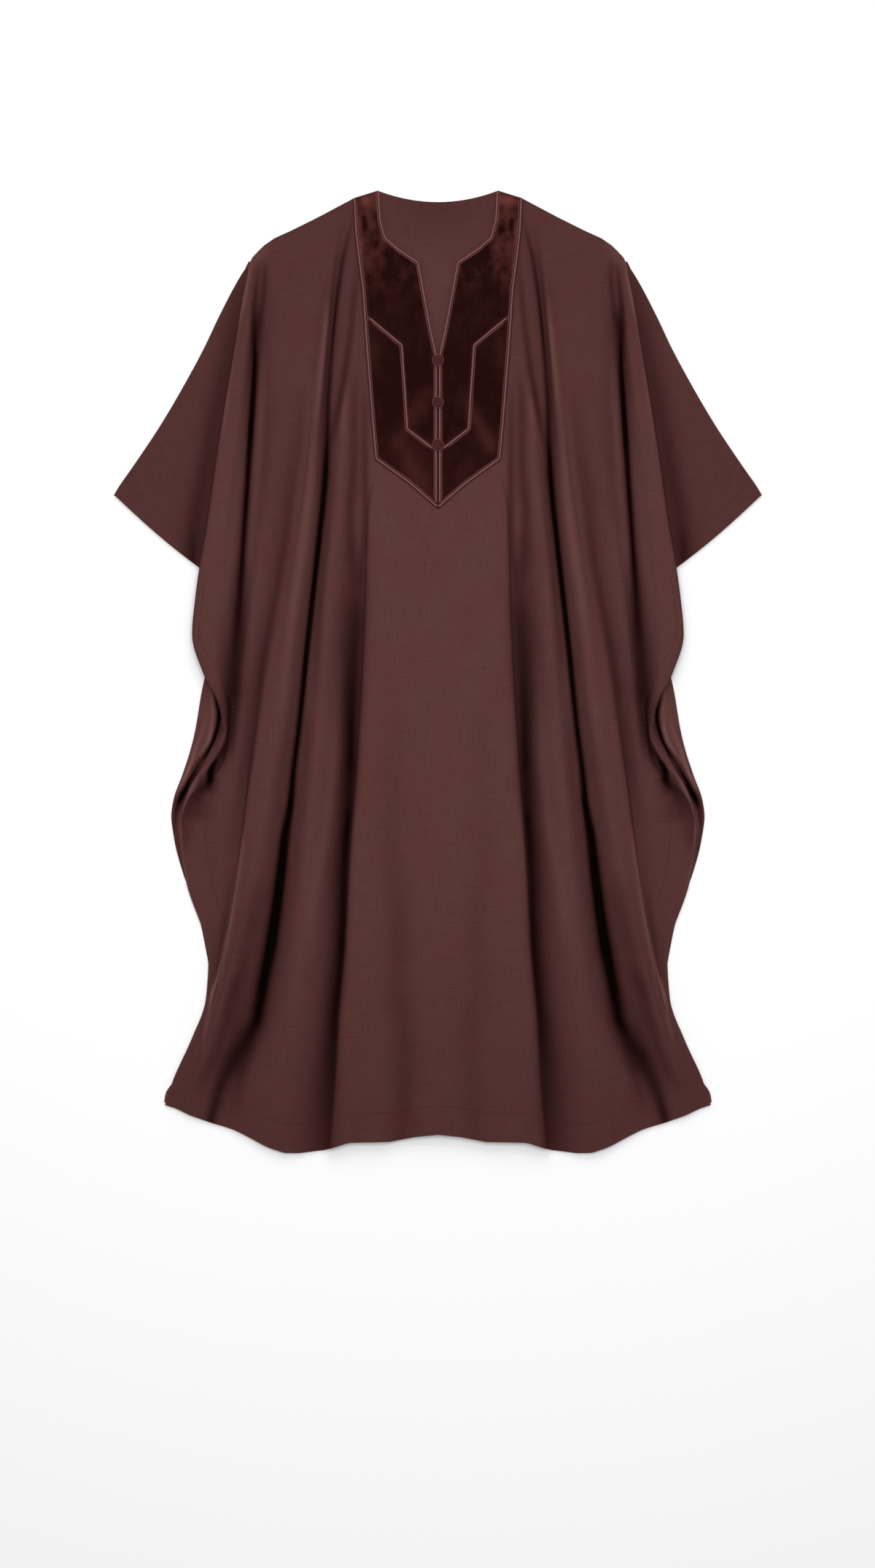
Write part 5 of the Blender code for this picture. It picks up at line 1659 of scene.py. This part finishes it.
def build_camera(sizes):
    data = bpy.data.cameras.new("view_from_above")
    data.lens = sizes.camera_lens
    data.clip_end = SIGHT
    camera = new_object("view_from_above", data)
    distance = sizes.frame_height * sizes.camera_lens * MM / SENSOR_LONG_SIDE
    camera.location = VIEW_CENTRE + Vector((0, 0, distance))
    bpy.context.scene.camera = camera


# === operators ===================================================================================
# Cuts of the cloth: width and length in metres, and area in square metres
YOKE_FLAT, YOKE_AREA = (0.10, 0.32), 0.0138
BORDER_FLAT, BORDER_AREA = (0.085, 0.225), 0.0089


class BOUBOU_OT_front(bpy.types.Operator):
    """Lay out the front of the robe, with its folds and pressed hem"""
    bl_idname = "boubou.front"
    bl_label = "Front"

    def execute(self, context):
        front = build_front(context.scene.boubou_sizes)
        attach(front, "root")
        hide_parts("front_panel")
        return {"FINISHED"}


class BOUBOU_OT_back(bpy.types.Operator):
    """Lay out the back of the robe, which shows beside the front at the open sides"""
    bl_idname = "boubou.back"
    bl_label = "Back"

    def execute(self, context):
        back = build_back(context.scene.boubou_sizes)
        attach(back, "root")
        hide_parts("back_panel")
        return {"FINISHED"}


class BOUBOU_OT_sleeves(bpy.types.Operator):
    """Fold the two wide sleeves out at the shoulders"""
    bl_idname = "boubou.sleeves"
    bl_label = "Sleeves"

    def execute(self, context):
        for label, side in SIDES.items():
            sleeve = build_sleeve(context.scene.boubou_sizes, label, side)
            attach(sleeve, "root")
            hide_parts("sleeve_" + label)
        return {"FINISHED"}


class BOUBOU_OT_bib(bpy.types.Operator):
    """Lay the velvet pieces of the bib on the front"""
    bl_idname = "boubou.bib"
    bl_label = "Velvet bib"

    def execute(self, context):
        for label, side in SIDES.items():
            for part, outline, flat, area in (("yoke", yoke_outline, YOKE_FLAT, YOKE_AREA),
                                              ("border", border_outline, BORDER_FLAT, BORDER_AREA)):
                piece = build_velvet(context.scene.boubou_sizes, "velvet_" + part + "_" + label,
                                     side, *outline())
                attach(piece, "root")
                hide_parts("bib_" + part + "_" + label)
        return {"FINISHED"}


class BOUBOU_OT_piping(bpy.types.Operator):
    """Run the satin cords round the neck, the slit and the bib"""
    bl_idname = "boubou.piping"
    bl_label = "Piping"

    def execute(self, context):
        for label, side in SIDES.items():
            for kind in cord_courses():
                cord = build_piping(context.scene.boubou_sizes, kind, label, side)
                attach(cord, "root")
                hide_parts("piping_" + kind + "_" + label)
        return {"FINISHED"}


class BOUBOU_OT_buttons(bpy.types.Operator):
    """Set the three velvet-covered buttons on the slit"""
    bl_idname = "boubou.buttons"
    bl_label = "Buttons"

    def execute(self, context):
        for number, button in enumerate(build_buttons(), 1):
            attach(button, "root")
            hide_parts("button_" + str(number))
        return {"FINISHED"}


class BOUBOU_OT_stitching(bpy.types.Operator):
    """Sew the hems of the front, the open sides and the sleeves"""
    bl_idname = "boubou.stitching"
    bl_label = "Stitching"

    def execute(self, context):
        for name, lines in stitch_lines(context.scene.boubou_sizes).items():
            stitches = build_stitches(context.scene.boubou_sizes, name, lines)
            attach(stitches, "root")
        return {"FINISHED"}


class BOUBOU_OT_stage(bpy.types.Operator):
    """Put the robe on a pale floor under soft light, with the camera straight above"""
    bl_idname = "boubou.stage"
    bl_label = "Floor, light and camera"

    def execute(self, context):
        build_floor()
        build_lights()
        build_camera(context.scene.boubou_sizes)
        context.scene.view_settings.view_transform = "Standard"
        return {"FINISHED"}


class BOUBOU_PT_sidebar(bpy.types.Panel):
    bl_idname = "BOUBOU_PT_sidebar"
    bl_label = "Grand boubou robe"
    bl_space_type = "VIEW_3D"
    bl_region_type = "UI"
    bl_category = "Boubou"

    def draw(self, context):
        for operator in OPERATORS:
            self.layout.operator(operator.bl_idname)
        for settings in (context.scene.boubou_sizes, context.scene.boubou_colours):
            rows = self.layout.column()
            for name in settings.bl_rna.properties.keys():
                if name not in ("rna_type", "name"):
                    rows.prop(settings, name)


OPERATORS = (BOUBOU_OT_stage, BOUBOU_OT_back, BOUBOU_OT_front, BOUBOU_OT_sleeves, BOUBOU_OT_bib,
             BOUBOU_OT_piping, BOUBOU_OT_buttons, BOUBOU_OT_stitching)
CLASSES = (BoubouSizes, BoubouColours, *OPERATORS, BOUBOU_PT_sidebar)


def register():
    for cls in CLASSES:
        bpy.utils.register_class(cls)
    bpy.types.Scene.boubou_sizes = bpy.props.PointerProperty(type=BoubouSizes)
    bpy.types.Scene.boubou_colours = bpy.props.PointerProperty(type=BoubouColours)


def unregister():
    del bpy.types.Scene.boubou_colours
    del bpy.types.Scene.boubou_sizes
    for cls in reversed(CLASSES):
        bpy.utils.unregister_class(cls)


def main():
    register()
    for operator in OPERATORS:
        group, name = operator.bl_idname.split(".")
        getattr(getattr(bpy.ops, group), name)()


if __name__ == "__main__":
    main()
